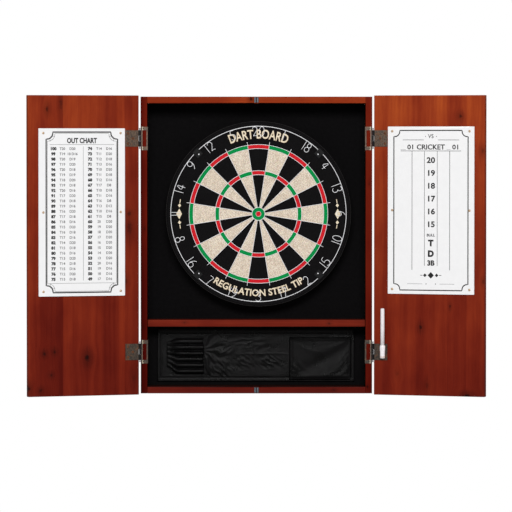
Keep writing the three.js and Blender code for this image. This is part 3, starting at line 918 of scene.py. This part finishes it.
def print_score_sheet():
    """The right board: a score sheet with columns either side of the numbers that are played for."""
    writing = [words("CRICKET", 17, -0.5, 153.5, 0.4, 1.05), words("01", 16, -51, 153.5, 0.35, 1.15),
               words("01", 16, 63.5, 153.5, 0.35, 1.15)]
    for i, number in enumerate((20, 19, 18, 17, 16, 15)):
        writing.append(words(str(number), 19, 0, 121.5 - 31.2 * i, 0.6, 1.12))
    for text, size, y, weight in (("T", 20, -80.2, 1.25), ("D", 20, -106.0, 1.25), ("3B", 17, -128.6, 0.8),
                                  ("VS", 13.5, 180, 0.15)):
        writing.append(words(text, size, 0, y, weight))
    small = [words("BULL", 9.0, 0, -60.5, 0.3, 1.05)]
    for x in (-14, 14):
        small.append(diamond(x, 180, 1.4, 1.4))
    printed("score_sheet_border", [border(94.5, 194.5, 12.5, 2.5, 2.6)], "ink", "right")
    printed("score_sheet_rules", score_sheet_rules(), "ink_grey", "right")
    printed("score_sheet_numbers", writing, "ink", "right")
    printed("score_sheet_small", small, "ink_grey", "right")
    printed("score_sheet_ornament", score_sheet_ornament(), "ink", "right")


def pin_head(node, side):
    """A domed pin that stands for the CAD one, and where it goes."""
    low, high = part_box(node)
    turn = Matrix.Rotation(-side * FORWARD, 4, "Z")
    inverse = turn.inverted()
    depths = [(inverse @ v.co).y for v in frame["nodes"][node].data.vertices]
    front, back = min(depths), max(depths)
    middle = inverse @ ((low + high) / 2)
    radius = (high.z - low.z) / 2
    dome = [(0, front)]
    for k in range(1, 7):
        angle = math.radians(15 * k)
        dome.append((radius * math.sin(angle), front + (1 - math.cos(angle)) * 1.0 * MM))
    dome += [(radius * 0.3, front + 1.0 * MM), (radius * 0.3, back), (0, back)]
    return lathe(dome, 20), turn @ Matrix.Translation((middle.x, 0, middle.z))


def dress_scoreboards():
    for name, side in SIDES.items():
        dress(f"scoreboard_{name}", MATERIALS["white"], 0.4 * MM)
        for i in range(6):
            node = f"scoreboard_pin_{name}_{i + 1}"
            form, at = pin_head(node, side)
            piece(f"pin_{name}_{i + 1}", form, MATERIALS["brass"], f"door_{name}", [node],
                  smooth=True, at=at)
    print_out_chart()
    print_score_sheet()


# ---------------------------------------------------------------- the dart board


def sectored_face():
    """The bristle disc: its face split into beds with a colour each, then its rounded rim, side and back."""
    around = 6 * len(SECTORS)
    radii = [INNER_BULL * 0.5, INNER_BULL, OUTER_BULL, 40 * MM, 70 * MM, *TRIPLE, 126 * MM, 144 * MM, *DOUBLE]
    radii += [186 * MM, 204 * MM, CORE - RIM]
    depths = [0.0] * len(radii)
    depth = BOARD_HIGH.y - BOARD_LOW.y
    for k in range(1, 5):
        angle = math.radians(22.5 * k)
        radii.append(CORE - RIM + RIM * math.sin(angle))
        depths.append(RIM * (1 - math.cos(angle)))
    radii += [CORE, CORE * 0.5, 0]
    depths += [depth, depth, depth]
    points, faces, beds = [(0, 0, 0)], [], []
    rings = [[0]]
    for radius, y in zip(radii, depths):
        count = around if radius > 0 else 1
        rings.append(list(range(len(points), len(points) + count)))
        for i in range(count):
            angle = STEP * (i / 6 - 0.5)
            points.append((radius * math.sin(angle), y, radius * math.cos(angle)))
    for level, (first, second) in enumerate(zip(rings, rings[1:])):
        outer = radii[level]
        for i in range(around):
            a, b = first[i % len(first)], first[(i + 1) % len(first)]
            c, d = second[(i + 1) % len(second)], second[i % len(second)]
            faces.append(list(dict.fromkeys((a, b, c, d))))
            beds.append(bed_colour(outer, i // 6, depths[level]))
    return shape(points, faces), beds


def bed_colour(outer, sector, depth):
    """0 black, 1 cream, 2 red, 3 green for the bed whose outer radius and place are given."""
    dark = sector % 2 == 0
    if outer > DOUBLE[1] + 1e-6 or depth > 0:
        return 0
    if outer <= INNER_BULL + 1e-6:
        return 2
    if outer <= OUTER_BULL + 1e-6:
        return 3
    ring = any(low + 1e-6 < outer <= high + 1e-6 for low, high in (TRIPLE, DOUBLE))
    if ring:
        return 2 if dark else 3
    return 0 if dark else 1


def circle(radius, y, count=120):
    angles = np.linspace(0, 2 * math.pi, count, endpoint=False)
    return [(radius * math.sin(a), y, radius * math.cos(a)) for a in angles]


def wire_shapes():
    """Round wires: four rings, the bull ring and the lines between the beds, whose outer ends turn in."""
    wire = 0.58 * MM
    level = -0.8 * MM
    parts = [tube(circle(radius, level), wire, 8, closed=True) for radius in (*TRIPLE, *DOUBLE)]
    parts.append(tube(circle(OUTER_BULL, level, 60), wire * 1.1, 8, closed=True))
    for i in range(len(SECTORS)):
        angle = STEP * (i + 0.5)
        reach = [OUTER_BULL, 60 * MM, 120 * MM, WIRE_REACH - 3 * MM, WIRE_REACH - 0.9 * MM, WIRE_REACH]
        lift = [level, level, level, level, level + 0.25 * MM, level + 0.7 * MM]
        path = [(r * math.sin(angle), y - 0.25 * MM, r * math.cos(angle)) for r, y in zip(reach, lift)]
        square = (math.cos(angle), 0, -math.sin(angle))
        parts.append(tube(path, wire, 8, up=square))
    return together(parts)


NUMERALS = {
    "0": [arc(0.27, 0.5, 0.27, 0.5, 90, 450, 20)],
    "1": [[(0.06, 1.0), (0.06, 0.0)]],
    "2": [arc(0.27, 0.73, 0.25, 0.26, 165, -25, 10) + [(0.3, 0.32), (0.05, 0.02), (0.3, 0.09), (0.55, 0.02)]],
    "3": [arc(0.25, 0.76, 0.23, 0.23, 150, -75, 9) + arc(0.25, 0.27, 0.28, 0.27, 80, -150, 10)],
    "4": [[(0.4, 0.0), (0.4, 1.0), (0.0, 0.3), (0.58, 0.3)]],
    "5": [[(0.5, 1.0), (0.1, 1.0), (0.06, 0.56)] + arc(0.26, 0.3, 0.27, 0.3, 125, -150, 11)],
    "6": [arc(0.6, 0.32, 0.58, 0.67, 108, 172, 7) + arc(0.28, 0.27, 0.26, 0.27, 170, 530, 16)],
    "7": [[(0.0, 0.98), (0.52, 0.98), (0.3, 0.5), (0.18, 0.0)]],
    "8": [arc(0.27, 0.76, 0.2, 0.24, 270, -90, 14), arc(0.27, 0.26, 0.26, 0.26, 90, 450, 16)],
    "9": [arc(0.28, 0.73, 0.26, 0.27, 10, -350, 16) + arc(-0.04, 0.68, 0.58, 0.67, 352, 288, 7)],
}


def advance(digit):
    return 0.3 if digit == "1" else 0.78


def number_wires():
    """The number ring: its hoop and a bent wire numeral in the middle of each sector."""
    low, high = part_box("number_ring")
    hoop = (high.x - low.x) / 2 - 1.5 * MM
    level = (low.y + high.y) / 2 - FACE.y
    wire = 0.72 * MM
    tall = 23.5 * MM
    numeral_top = hoop - 1.0 * MM
    parts = [tube(circle(hoop, level, 160), 0.8 * MM, 8, closed=True)]
    for i, number in enumerate(SECTORS):
        digits = str(number)
        angle = STEP * i
        outward = math.cos(angle) > -0.01
        width = sum(advance(d) for d in digits) - 0.2
        start = -width / 2
        for digit in digits:
            for line in NUMERALS[digit]:
                points = [((start + x) * tall, (y - 1.0) * tall) for x, y in smooth_line(line)]
                if not outward:
                    points = [(x, y + tall) for x, y in points]
                flat = np.array([(x, y, 0.0) for x, y in points])
                placed, _ = bent((flat, []), angle, numeral_top, outward)
                placed[:, 1] = level
                parts.append(tube(placed, wire, 6))
            start += advance(digit)
    return together(parts)


def smooth_line(points):
    """The same line with its corners rounded once."""
    made = [points[0]]
    for (ax, ay), (bx, by) in zip(points, points[1:]):
        made.append((ax * 0.8 + bx * 0.2, ay * 0.8 + by * 0.2))
        made.append((ax * 0.2 + bx * 0.8, ay * 0.2 + by * 0.8))
    return [*made, points[-1]]


def number_band_print(place):
    """Generic words round the top and bottom of the black band, and a plain ornament at each side."""
    lift = Matrix.Translation((0, 0, INK))
    texts = [("DART BOARD", 31, 0.0, True, 0.76), ("REGULATION STEEL TIP", 23, math.pi, False, 0.94)]
    front, shade = [], []
    for text, size, angle, outward, narrow in texts:
        flat = moved(words(text, size, 0, 0, 0.5, narrow), lift)
        front.append(bent(flat, angle, BAND_MIDDLE, outward))
        shade.append(bent(words(text, size, 0.7, -0.5, 0.5, narrow), angle, BAND_MIDDLE, outward))
    for angle in (math.pi / 2, -math.pi / 2):
        parts = [diamond(0, 0, 13, 7)]
        for side in BOTH:
            parts.append(diamond(side * 21, 0, 5, 4))
            parts.append(stroke([(side * (27 + k) * MM, 0) for k in (0, 3, 6, 9)], 2.0 * MM))
        front.append(bent(moved(together(parts), lift), angle, BAND_MIDDLE, True))
    piece("number_band_words", together(front), MATERIALS["print"], "dartboard", at=place)
    piece("number_band_shading", together(shade), MATERIALS["print_shade"], "dartboard", at=place)


def dress_dartboard():
    place = Matrix.Translation(FACE)
    face, beds = sectored_face()
    colours = [MATERIALS[c] for c in ("black", "cream", "red", "green")]
    piece("bristle_disc", face, (colours, beds), "dartboard", ["dartboard_fibre"], at=place)
    bull = tube(circle(INNER_BULL, -0.5 * MM, 40), 0.3 * MM, 8, closed=True)
    for name, form, body, node in (("spider_wires", wire_shapes(), "dartboard", "wire_spider"),
                                   ("inner_bull_ring", bull, "dartboard", "bull_wire"),
                                   ("number_ring_wire", number_wires(), "number_ring", "number_ring")):
        piece(name, form, MATERIALS["wire"], body, [node], smooth=True, at=place)
    number_band_print(Matrix.Translation(FACE + Vector((0, -INK, 0))))
    dress("dartboard_backing", MATERIALS["hardboard"])
    dress("dartboard_band", MATERIALS["band"], 0.25 * MM)
    dome = [(0, -0.9 * MM), (1.0 * MM, -0.75 * MM), (1.7 * MM, -0.2 * MM), (1.7 * MM, 0), (0, 0)]
    for i in range(4):
        dress(f"number_ring_clip_{i + 1}", MATERIALS["black_plastic"], 0.35 * MM)
        angle = math.pi / 4 + i * math.pi / 2
        at = FACE + Vector((CLIP_AWAY * math.sin(angle), -1.3 * MM, CLIP_AWAY * math.cos(angle)))
        piece(f"clip_rivet_{i + 1}", lathe(dome, 20), MATERIALS["wire"], "dartboard",
              smooth=True, at=Matrix.Translation(at))
    for i in range(3):
        dress(f"dartboard_foot_{i + 1}", MATERIALS["rubber"], 0.8 * MM, 3)
    dress_hanger()


def dress_hanger():
    """The bracket with its four screws, and the bolt that the board hangs on."""
    dress("wall_bracket", MATERIALS["zinc"], 0.4 * MM)
    dress("hanger_bolt", MATERIALS["zinc"], 0.4 * MM)
    low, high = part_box("wall_bracket")
    head = screw_head(4 * MM, 1.4 * MM)
    middle = (low + high) / 2
    flange_front = high.y - 1.6 * MM
    corners = [(across, up) for across in BOTH for up in BOTH]
    for number, (across, up) in enumerate(corners, 1):
        at = (middle.x + across * 33 * MM, flange_front, middle.z + up * 15 * MM)
        piece(f"bracket_screw_{number}", head, MATERIALS["zinc"], "case",
              at=Matrix.Translation(at))


# ---------------------------------------------------------------- the organizer

SLEEVES = 6
CLOTH = 0.5 * MM
ASIDE_Y = (0, 1, 0.001)  # nearly +Y, so that a path along Y still has a side


def ease(value):
    value = min(1.0, max(0.0, value))
    return value * value * (3 - 2 * value)


def hill(distance, width):
    return math.exp(-((distance / width) ** 2))


# Where the cloth is crumpled: (x, z) of the middle, half width and half height, slant and depth, in mm.
CRUMPLES = (
    (-98, -306, 27, 22, -52, 3.0),
    (-33, -291, 26, 14, -38, 2.4),
    (28, -289, 26, 15, -36, 2.6),
    (-84, -262, 22, 16, 20, 1.6),
    (-20, -250, 60, 22, 8, 0.9),
)
FAN_FROM = (-134, -264)  # folds spread from the open ends of the sleeves


def wrinkles(x, z):
    """How far the organizer's cloth stands off its flat, in millimetres, at a place in millimetres."""
    stand = noise.noise(Vector((x / 60, z / 38, 3.1))) * 0.8
    reach = math.hypot(x - FAN_FROM[0], z - FAN_FROM[1])
    turn = math.atan2(z - FAN_FROM[1], x - FAN_FROM[0])
    wobble = noise.noise(Vector((x / 28, z / 28, 9.7)))
    stand += math.cos(turn * 11 + wobble * 4) * hill(reach - 34, 26) * ease((x + 130) / 10) * 0.9
    for at_x, at_z, wide, high, slant, depth in CRUMPLES:
        near = hill(x - at_x, wide) * hill(z - at_z, high)
        if near > 0.02:
            lean = math.radians(slant)
            along = (x - at_x) * math.cos(lean) + (z - at_z) * math.sin(lean)
            over = (z - at_z) * math.cos(lean) - (x - at_x) * math.sin(lean)
            warp = 3 * noise.noise(Vector((x / 16, z / 16, at_x)))
            fold = 1 - 2 * abs(noise.noise(Vector((along / 30, (over + warp) / 10, 5.3))))
            stand += (fold - 0.6) * near * depth
    stand += hill(z + 270 - 3 * noise.noise(Vector((x / 45, 0, 1.7))), 2.4) * hill(x - 20, 62) * 0.4
    stand += hill(x - 3, 11) * hill(z + 240, 14) * 0.7
    return stand - 0.45 * hill(x + 9, 1.7) * hill(z + 285, 48)


def cloth_sheet(points_of, rows, columns):
    """A grid of points in metres from a function of row and column shares."""
    return grid([[points_of(u, v) for u in np.linspace(0, 1, columns)] for v in np.linspace(0, 1, rows)])


def organizer_back():
    """The cloth behind the sleeves and the pocket: hemmed round its edge and wrinkled in the middle."""
    low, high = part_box("organizer_sheet")
    sewn = [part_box("dart_sleeves"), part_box("accessory_pocket")]

    def point(u, v):
        x = low.x + u * (high.x - low.x)
        z = low.z + v * (high.z - low.z)
        rim = min(x - low.x, high.x - x, z - low.z, high.z - z) / MM
        quiet = ease((rim - 7) / 8)
        for sewn_low, sewn_high in sewn:
            out_x = max(sewn_low.x - x, x - sewn_high.x, 0) / MM
            out_z = max(sewn_low.z - z, z - sewn_high.z, 0) / MM
            quiet = min(quiet, ease(math.hypot(out_x, out_z) / 6))
        hem = 1 - ease((rim - 6.5) / 1.5)
        stand = 1.9 + wrinkles(x / MM, z / MM) * quiet + 0.8 * hem - 0.7 * hill(rim - 9, 1.2)
        return x, high.y - min(4.5, max(0.4, stand)) * MM, z

    return cloth_sheet(point, 84, 262), (high.x - low.x, high.z - low.z)


def sleeve_height(share, along, sleeve, deep):
    """How far a sleeve stands off, across its width and along it from the sewn-down left end."""
    full = (0.9 + 0.1 * math.sin(2.3 * sleeve + 0.7)) * deep
    opening = 0.1 + 0.9 * ease(along / 0.42)
    round_top = max(0.0, math.sin(math.pi * share)) ** 0.62
    sag = 1 - 0.12 * hill(along - 0.62, 0.25) * math.sin(1.7 * sleeve)
    return full * opening * round_top * sag


def sleeve_sheet():
    """Six sleeves sewn from one piece of cloth, flat at their left ends and open at their right ends."""
    low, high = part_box("dart_sleeves")
    pitch = (high.z - low.z) / SLEEVES
    deep = high.y - low.y - 1.0 * MM

    def point(u, v):
        place = v * SLEEVES
        sleeve = min(SLEEVES - 1, int(place))
        share = place - sleeve
        gather = 0.3 * (1 - ease(u / 0.3))
        z = low.z + v * (high.z - low.z)
        z += (high.z - 2.1 * pitch - z) * gather
        x = low.x + u * (high.x - low.x)
        x += 1.2 * MM * math.sin(sleeve * 2.1 + 0.4) * u * u * math.sin(math.pi * share)
        ripple = noise.noise(Vector((x / 0.022, z / 0.006, 2.2))) * ease(u * 4) * math.sin(math.pi * share)
        stand = sleeve_height(share, u, sleeve, deep) + 0.45 * MM * ripple
        return x, high.y - 0.25 * MM - stand, z

    return cloth_sheet(point, SLEEVES * 14 + 1, 34), point


def pocket_sheet():
    """The patch pocket: sewn down on three sides, a little slack, and open along its top edge."""
    low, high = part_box("accessory_pocket")
    deep = high.y - low.y

    def point(u, v):
        x = low.x + u * (high.x - low.x)
        z = low.z + v * (high.z - low.z)
        side = ease(min(u, 1 - u) / 0.08)
        foot = ease(v / 0.1)
        hollow = hill((v - 0.12) - (u - 0.1) * 0.75, 0.16) * ease(u / 0.15)
        stand = 0.24 + (0.17 - 0.13 * hollow + 0.03 * math.sin(4.4 * u + 1.2) * v) * side * foot
        stand += 0.1 * ease((v - 0.93) / 0.05) * side
        return x, high.y - deep * stand, z - 0.8 * MM * math.sin(math.pi * u) * ease((v - 0.6) / 0.4)

    return cloth_sheet(point, 44, 62), point


def soft_piece(name, form, material, stands_for=()):
    """A piece of the organizer, all of which stays with the case."""
    return piece(name, form, MATERIALS[material], "case", stands_for, smooth=True)


def forward(path, distance):
    """A path moved towards the front."""
    return [(x, y - distance, z) for x, y, z in path]


def stitches(name, paths, pitch):
    """Short thread stitches, end to end with gaps, along paths that lie on cloth facing -Y."""
    parts = []
    for path in paths:
        path = np.array(path, float)
        lengths = np.concatenate([[0], np.cumsum(np.linalg.norm(np.diff(path, axis=0), axis=1))])
        for start in np.arange(pitch * 0.2, lengths[-1] - pitch * 0.7, pitch):
            ends = [np.array([np.interp(d, lengths, path[:, k]) for k in range(3)])
                    for d in (start, start + pitch * 0.62)]
            middle = (ends[0] + ends[1]) / 2 + np.array([0, -0.22 * MM, 0])
            parts.append(tube([ends[0], middle, ends[1]], 0.21 * MM, 5, up=ASIDE_Y))
    return soft_piece(name, together(parts), "thread")


SETTLE_FRAMES = 20
SLACK = 0.008  # how much the pocket's cloth grows as it settles


def settle(one, weights, wall, furthest):
    """Lets slack cloth buckle by simulation between its sewn points, and keeps the shape that it finds.

    Cloth that goes through the wall behind it is turned to the front, and no point moves too far."""
    scene = bpy.context.scene
    start = np.array([v.co for v in one.data.vertices])
    group = one.vertex_groups.new(name="sewn")
    for i, weight in enumerate(weights):
        if weight > 0:
            group.add([i], weight, "REPLACE")
    cloth = one.modifiers.new("cloth", "CLOTH")
    cloth.settings.quality = 6
    cloth.settings.mass = 0.12
    cloth.settings.tension_stiffness = 12
    cloth.settings.compression_stiffness = 12
    cloth.settings.shear_stiffness = 6
    cloth.settings.bending_stiffness = 0.35
    cloth.settings.vertex_group_mass = "sewn"
    cloth.settings.shrink_min = -SLACK
    cloth.settings.effector_weights.gravity = 0.25
    cloth.point_cache.frame_start = 1
    cloth.point_cache.frame_end = SETTLE_FRAMES
    cloth.collision_settings.use_collision = False
    for step in range(1, SETTLE_FRAMES + 1):
        scene.frame_set(step)
    mesh = bpy.data.meshes.new_from_object(one.evaluated_get(bpy.context.evaluated_depsgraph_get()))
    one.modifiers.clear()
    one.vertex_groups.clear()
    one.data = mesh
    scene.frame_set(1)
    shift = np.array([v.co for v in mesh.vertices]) - start
    length = np.linalg.norm(shift, axis=1)
    points = start + shift * np.minimum(1.0, furthest / np.maximum(length, 1e-9))[:, None]
    points[:, 1] = wall - np.abs(wall - points[:, 1])
    mesh.vertices.foreach_set("co", points.ravel())
    mesh.update()


def thicken(obj):
    made = obj.modifiers.new("thickness", "SOLIDIFY")
    made.thickness = CLOTH
    made.offset = 0.0


def hem_stitches(low, high):
    """A row of stitches all round the organizer, inside its edge."""
    hem = 8 * MM
    depth = high.y - 2.4 * MM
    left, right, foot, top = low.x + hem, high.x - hem, low.z + hem, high.z - hem
    corners = [(left, depth, foot), (right, depth, foot), (right, depth, top), (left, depth, top)]
    paths = [list(ends) for ends in zip(corners, corners[1:] + corners[:1])]
    return stitches("hem_stitches", paths, 3.4 * MM)


def pocket_stitches(point, across):
    inset = 0.02
    sides = [[point(inset, v) for v in across], [point(1 - inset, v) for v in across],
             [point(u, inset * 1.5) for u in across], [point(u, 0.93) for u in across]]
    return stitches("pocket_stitches", [forward(path, 0.4 * MM) for path in sides], 3.2 * MM)


def sleeve_tape(point, seams):
    """Tape along each seam, and along the sleeves' open ends."""
    parts = [tube(path, 0.9 * MM, 8, up=ASIDE_Y) for path in seams]
    lip = [point(1.0, v) for v in np.linspace(0, 1, 85)]
    parts.append(tube([(x + 0.2 * MM, y, z) for x, y, z in lip], 0.75 * MM, 8, up=(1, 0, 0)))
    return soft_piece("sleeve_tape", together(parts), "tape_and_shade")


def pocket_tape(point, across):
    """Matte black tape along the pocket's open top and its left edge: painted shade standing in for the dark
    gap of the pocket's mouth and the shadow along its left edge.
    """
    parts = [tube([point(u, 1.0) for u in across], 1.7 * MM, 10, up=ASIDE_Y),
             tube([point(0.0, v) for v in across], 1.3 * MM, 10, up=ASIDE_Y)]
    return soft_piece("pocket_tape", together(parts), "tape_and_shade")


def make_organizer():
    back_form, back_flat = organizer_back()
    sleeve_form, sleeve_point = sleeve_sheet()
    pocket_form, pocket_point = pocket_sheet()
    back = soft_piece("organizer_cloth", back_form, "nylon", ["organizer_sheet"])
    sleeves = soft_piece("sleeve_cloth", sleeve_form, "nylon", ["dart_sleeves"])
    pocket = soft_piece("pocket_cloth", pocket_form, "nylon", ["accessory_pocket"])

    low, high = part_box("accessory_pocket")
    rims = [min(x - low.x, high.x - x, z - low.z) for x, _, z in pocket_form[0]]
    settle(pocket, [float(rim < 2.6 * MM) for rim in rims], high.y - 0.3 * MM, 0.25 * MM)
    for one in (back, sleeves, pocket):
        one.data.shade_smooth()
        thicken(one)

    across = np.linspace(0, 1, 60)
    seams = [[sleeve_point(u, i / SLEEVES) for u in across] for i in range(SLEEVES + 1)]
    on_back = [hem_stitches(*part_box("organizer_sheet"))]
    on_sleeves = [stitches("sleeve_stitches", [forward(path, 0.95 * MM) for path in seams], 3.0 * MM)]
    on_pocket = [pocket_stitches(pocket_point, across)]
    on_sleeves.append(sleeve_tape(sleeve_point, seams))
    on_pocket.append(pocket_tape(pocket_point, across))

    low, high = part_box("dart_sleeves")


# ---------------------------------------------------------------- the marker


def turned_radius(node):
    """The widest radius of a turned node whose axis is upright."""
    low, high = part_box(node)
    middle = (low + high) / 2
    return max(math.hypot(v.co.x - middle.x, v.co.y - middle.y) for v in frame["nodes"][node].data.vertices)


def marker_piece(name, form, material, body, stands_for=()):
    low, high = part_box("marker_cap")
    axis = Matrix.Translation(((low.x + high.x) / 2, (low.y + high.y) / 2, 0))
    piece(name, form, MATERIALS[material], body, stands_for, smooth=True, at=axis)


def cap_profile(radius, bore, bottom, mouth):
    """The cap's wall, from the middle of its round end, out and up to the mouth, and down its bore."""
    round_end = 1.4 * MM
    profile = [(0, bottom), (radius * 0.72, bottom)]
    profile += [(radius - round_end + x, bottom + round_end + y)
                for x, y in arc(0, 0, round_end, round_end, -70, 0, 5)]
    profile += [(radius, mouth - 1.0 * MM), (radius - 0.35 * MM, mouth - 0.2 * MM)]
    inner_end = bottom + 4 * MM
    return [*profile, (radius - 0.7 * MM, mouth), (bore, mouth), (bore, inner_end), (0, inner_end)]


def barrel_profile(radius, plug, foot, shoulder, end):
    """The barrel's outline: a plug that fits the cap, a shoulder, a slight taper and a round end."""
    round_end = 2.2 * MM
    narrow = radius * 0.97
    profile = [(0, foot), (plug, foot), (plug, shoulder), (radius, shoulder), (radius, shoulder + 60 * MM),
               (narrow, end - 9 * MM)]
    profile += [(narrow - round_end + x, end - round_end + y)
                for x, y in arc(0, 0, round_end, round_end, 0, 80, 6)]
    return [*profile, (0, end)]


def cap_ribs(radius, mouth, count=16):
    ribs = []
    for i in range(count):
        angle = 2 * math.pi * i / count
        out = (math.cos(angle), math.sin(angle))
        reach = radius + 0.05 * MM
        spots = [(reach * out[0], reach * out[1], mouth - down * MM) for down in (14, 8, 2.5)]
        ribs.append(tube(spots, 0.3 * MM, 6, up=(*out, 0)))
    return together(ribs)


def make_marker():
    """A plain white dry-wipe marker, cap down, with a slim tan ring near the end of its cap."""
    low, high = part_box("marker_cap")
    bottom, mouth = low.z, high.z
    radius = turned_radius("marker_cap")
    bore = radius - 1.6 * MM
    cap = cap_profile(radius, bore, bottom, mouth)
    marker_piece("marker_cap_shell", lathe(cap, 40, "Z"), "white_plastic", "marker_cap", ["marker_cap"])
    ring = []
    for height, stand in ((2.4, 0.0), (2.6, 0.12), (4.0, 0.12), (4.2, 0.0), (4.2, -0.4), (2.4, -0.4)):
        ring.append((radius + stand * MM, bottom + height * MM))
    marker_piece("marker_cap_ring", lathe([*ring, ring[0]], 40, "Z"), "tan", "marker_cap")
    marker_piece("marker_cap_ribs", cap_ribs(radius, mouth), "white_plastic", "marker_cap")

    low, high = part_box("marker_barrel")
    barrel = barrel_profile(turned_radius("marker_barrel"), bore - 0.3 * MM, low.z, mouth + 0.3 * MM, high.z)
    marker_piece("marker_body", lathe(barrel, 40, "Z"), "white_plastic", "marker_barrel", ["marker_barrel"])
    dress("marker_tip", MATERIALS["nib"])


# ---------------------------------------------------------------- the stage

AMBIENT = 0.12
FLOOR = -0.9
AIM = Vector((-0.001, CASE_FRONT, -0.0265))
CAMERA_AWAY = 10.06
CAMERA_PITCH = math.radians(1.7)
LENS = 289.2
# Each light's name, place, power and size. All of them point at the cabinet.
LIGHTS = (
    ("key", (0, -6.6, 2.8), 372, (3.2, 1.6)),
    ("fill_left", (-5.0, -2.4, 1.4), 40, (2.0, 2.0)),
    ("fill_right", (5.0, -2.4, 1.4), 40, (2.0, 2.0)),
    ("back_fill", (0, 4.5, 3.0), 120, (3.0, 2.0)),
)


def light_world():
    """White where the camera sees it, and a dim white light on everything else."""
    world = bpy.data.worlds.new("studio")
    bpy.context.scene.world = world
    world.use_nodes = True
    tree = world.node_tree
    background = tree.nodes["Background"]
    seen = tree.nodes.new("ShaderNodeLightPath")
    level = tree.nodes.new("ShaderNodeMapRange")
    level.inputs["To Min"].default_value = AMBIENT
    level.inputs["To Max"].default_value = 1.0
    tree.links.new(seen.outputs["Is Camera Ray"], level.inputs["Value"])
    tree.links.new(level.outputs[0], background.inputs["Strength"])
    background.inputs["Color"].default_value = (1, 1, 1, 1)


def aimed(name, data, place, aim):
    """A lamp or camera at a place, pointed at another."""
    made = bpy.data.objects.new(name, data)
    made.location = place
    made.rotation_euler = (Vector(aim) - Vector(place)).to_track_quat("-Z", "Y").to_euler()
    bpy.context.scene.collection.objects.link(made)
    return made


def make_stage():
    """A pale floor below the cabinet, a soft key light high in front, three fills and a long lens."""
    light_world()
    mesh = bpy.data.meshes.new("floor")
    corners = ((-3, -3.5), (3, -3.5), (3, 2.2), (-3, 2.2))
    mesh.from_pydata([(x, y, FLOOR) for x, y in corners], [], [(0, 1, 2, 3)])
    floor = bpy.data.objects.new("floor", mesh)
    bpy.context.scene.collection.objects.link(floor)
    mesh.materials.append(Shader("pale_floor", tone(226, 225, 223), 0.85, specular=0.1).material)

    for name, place, power, size in LIGHTS:
        lamp = bpy.data.lights.new(name, "AREA")
        lamp.energy = power
        lamp.shape = "RECTANGLE"
        lamp.size, lamp.size_y = size
        aimed(name, lamp, place, (0, -0.05, 0))

    lens = bpy.data.cameras.new("camera")
    lens.sensor_width = 36
    lens.lens = LENS
    lens.clip_end = 60
    away = Vector((0, -math.cos(CAMERA_PITCH), math.sin(CAMERA_PITCH)))
    bpy.context.scene.camera = aimed("camera", lens, AIM + away * CAMERA_AWAY, AIM)
    bpy.context.scene.view_settings.view_transform = "Standard"


# ---------------------------------------------------------------- the whole scene

MATERIALS = make_materials()
make_stage()
dress_case()
dress_doors()
magnetic_catches()
dress_hinges()
dress_scoreboards()
dress_dartboard()
make_organizer()
make_marker()
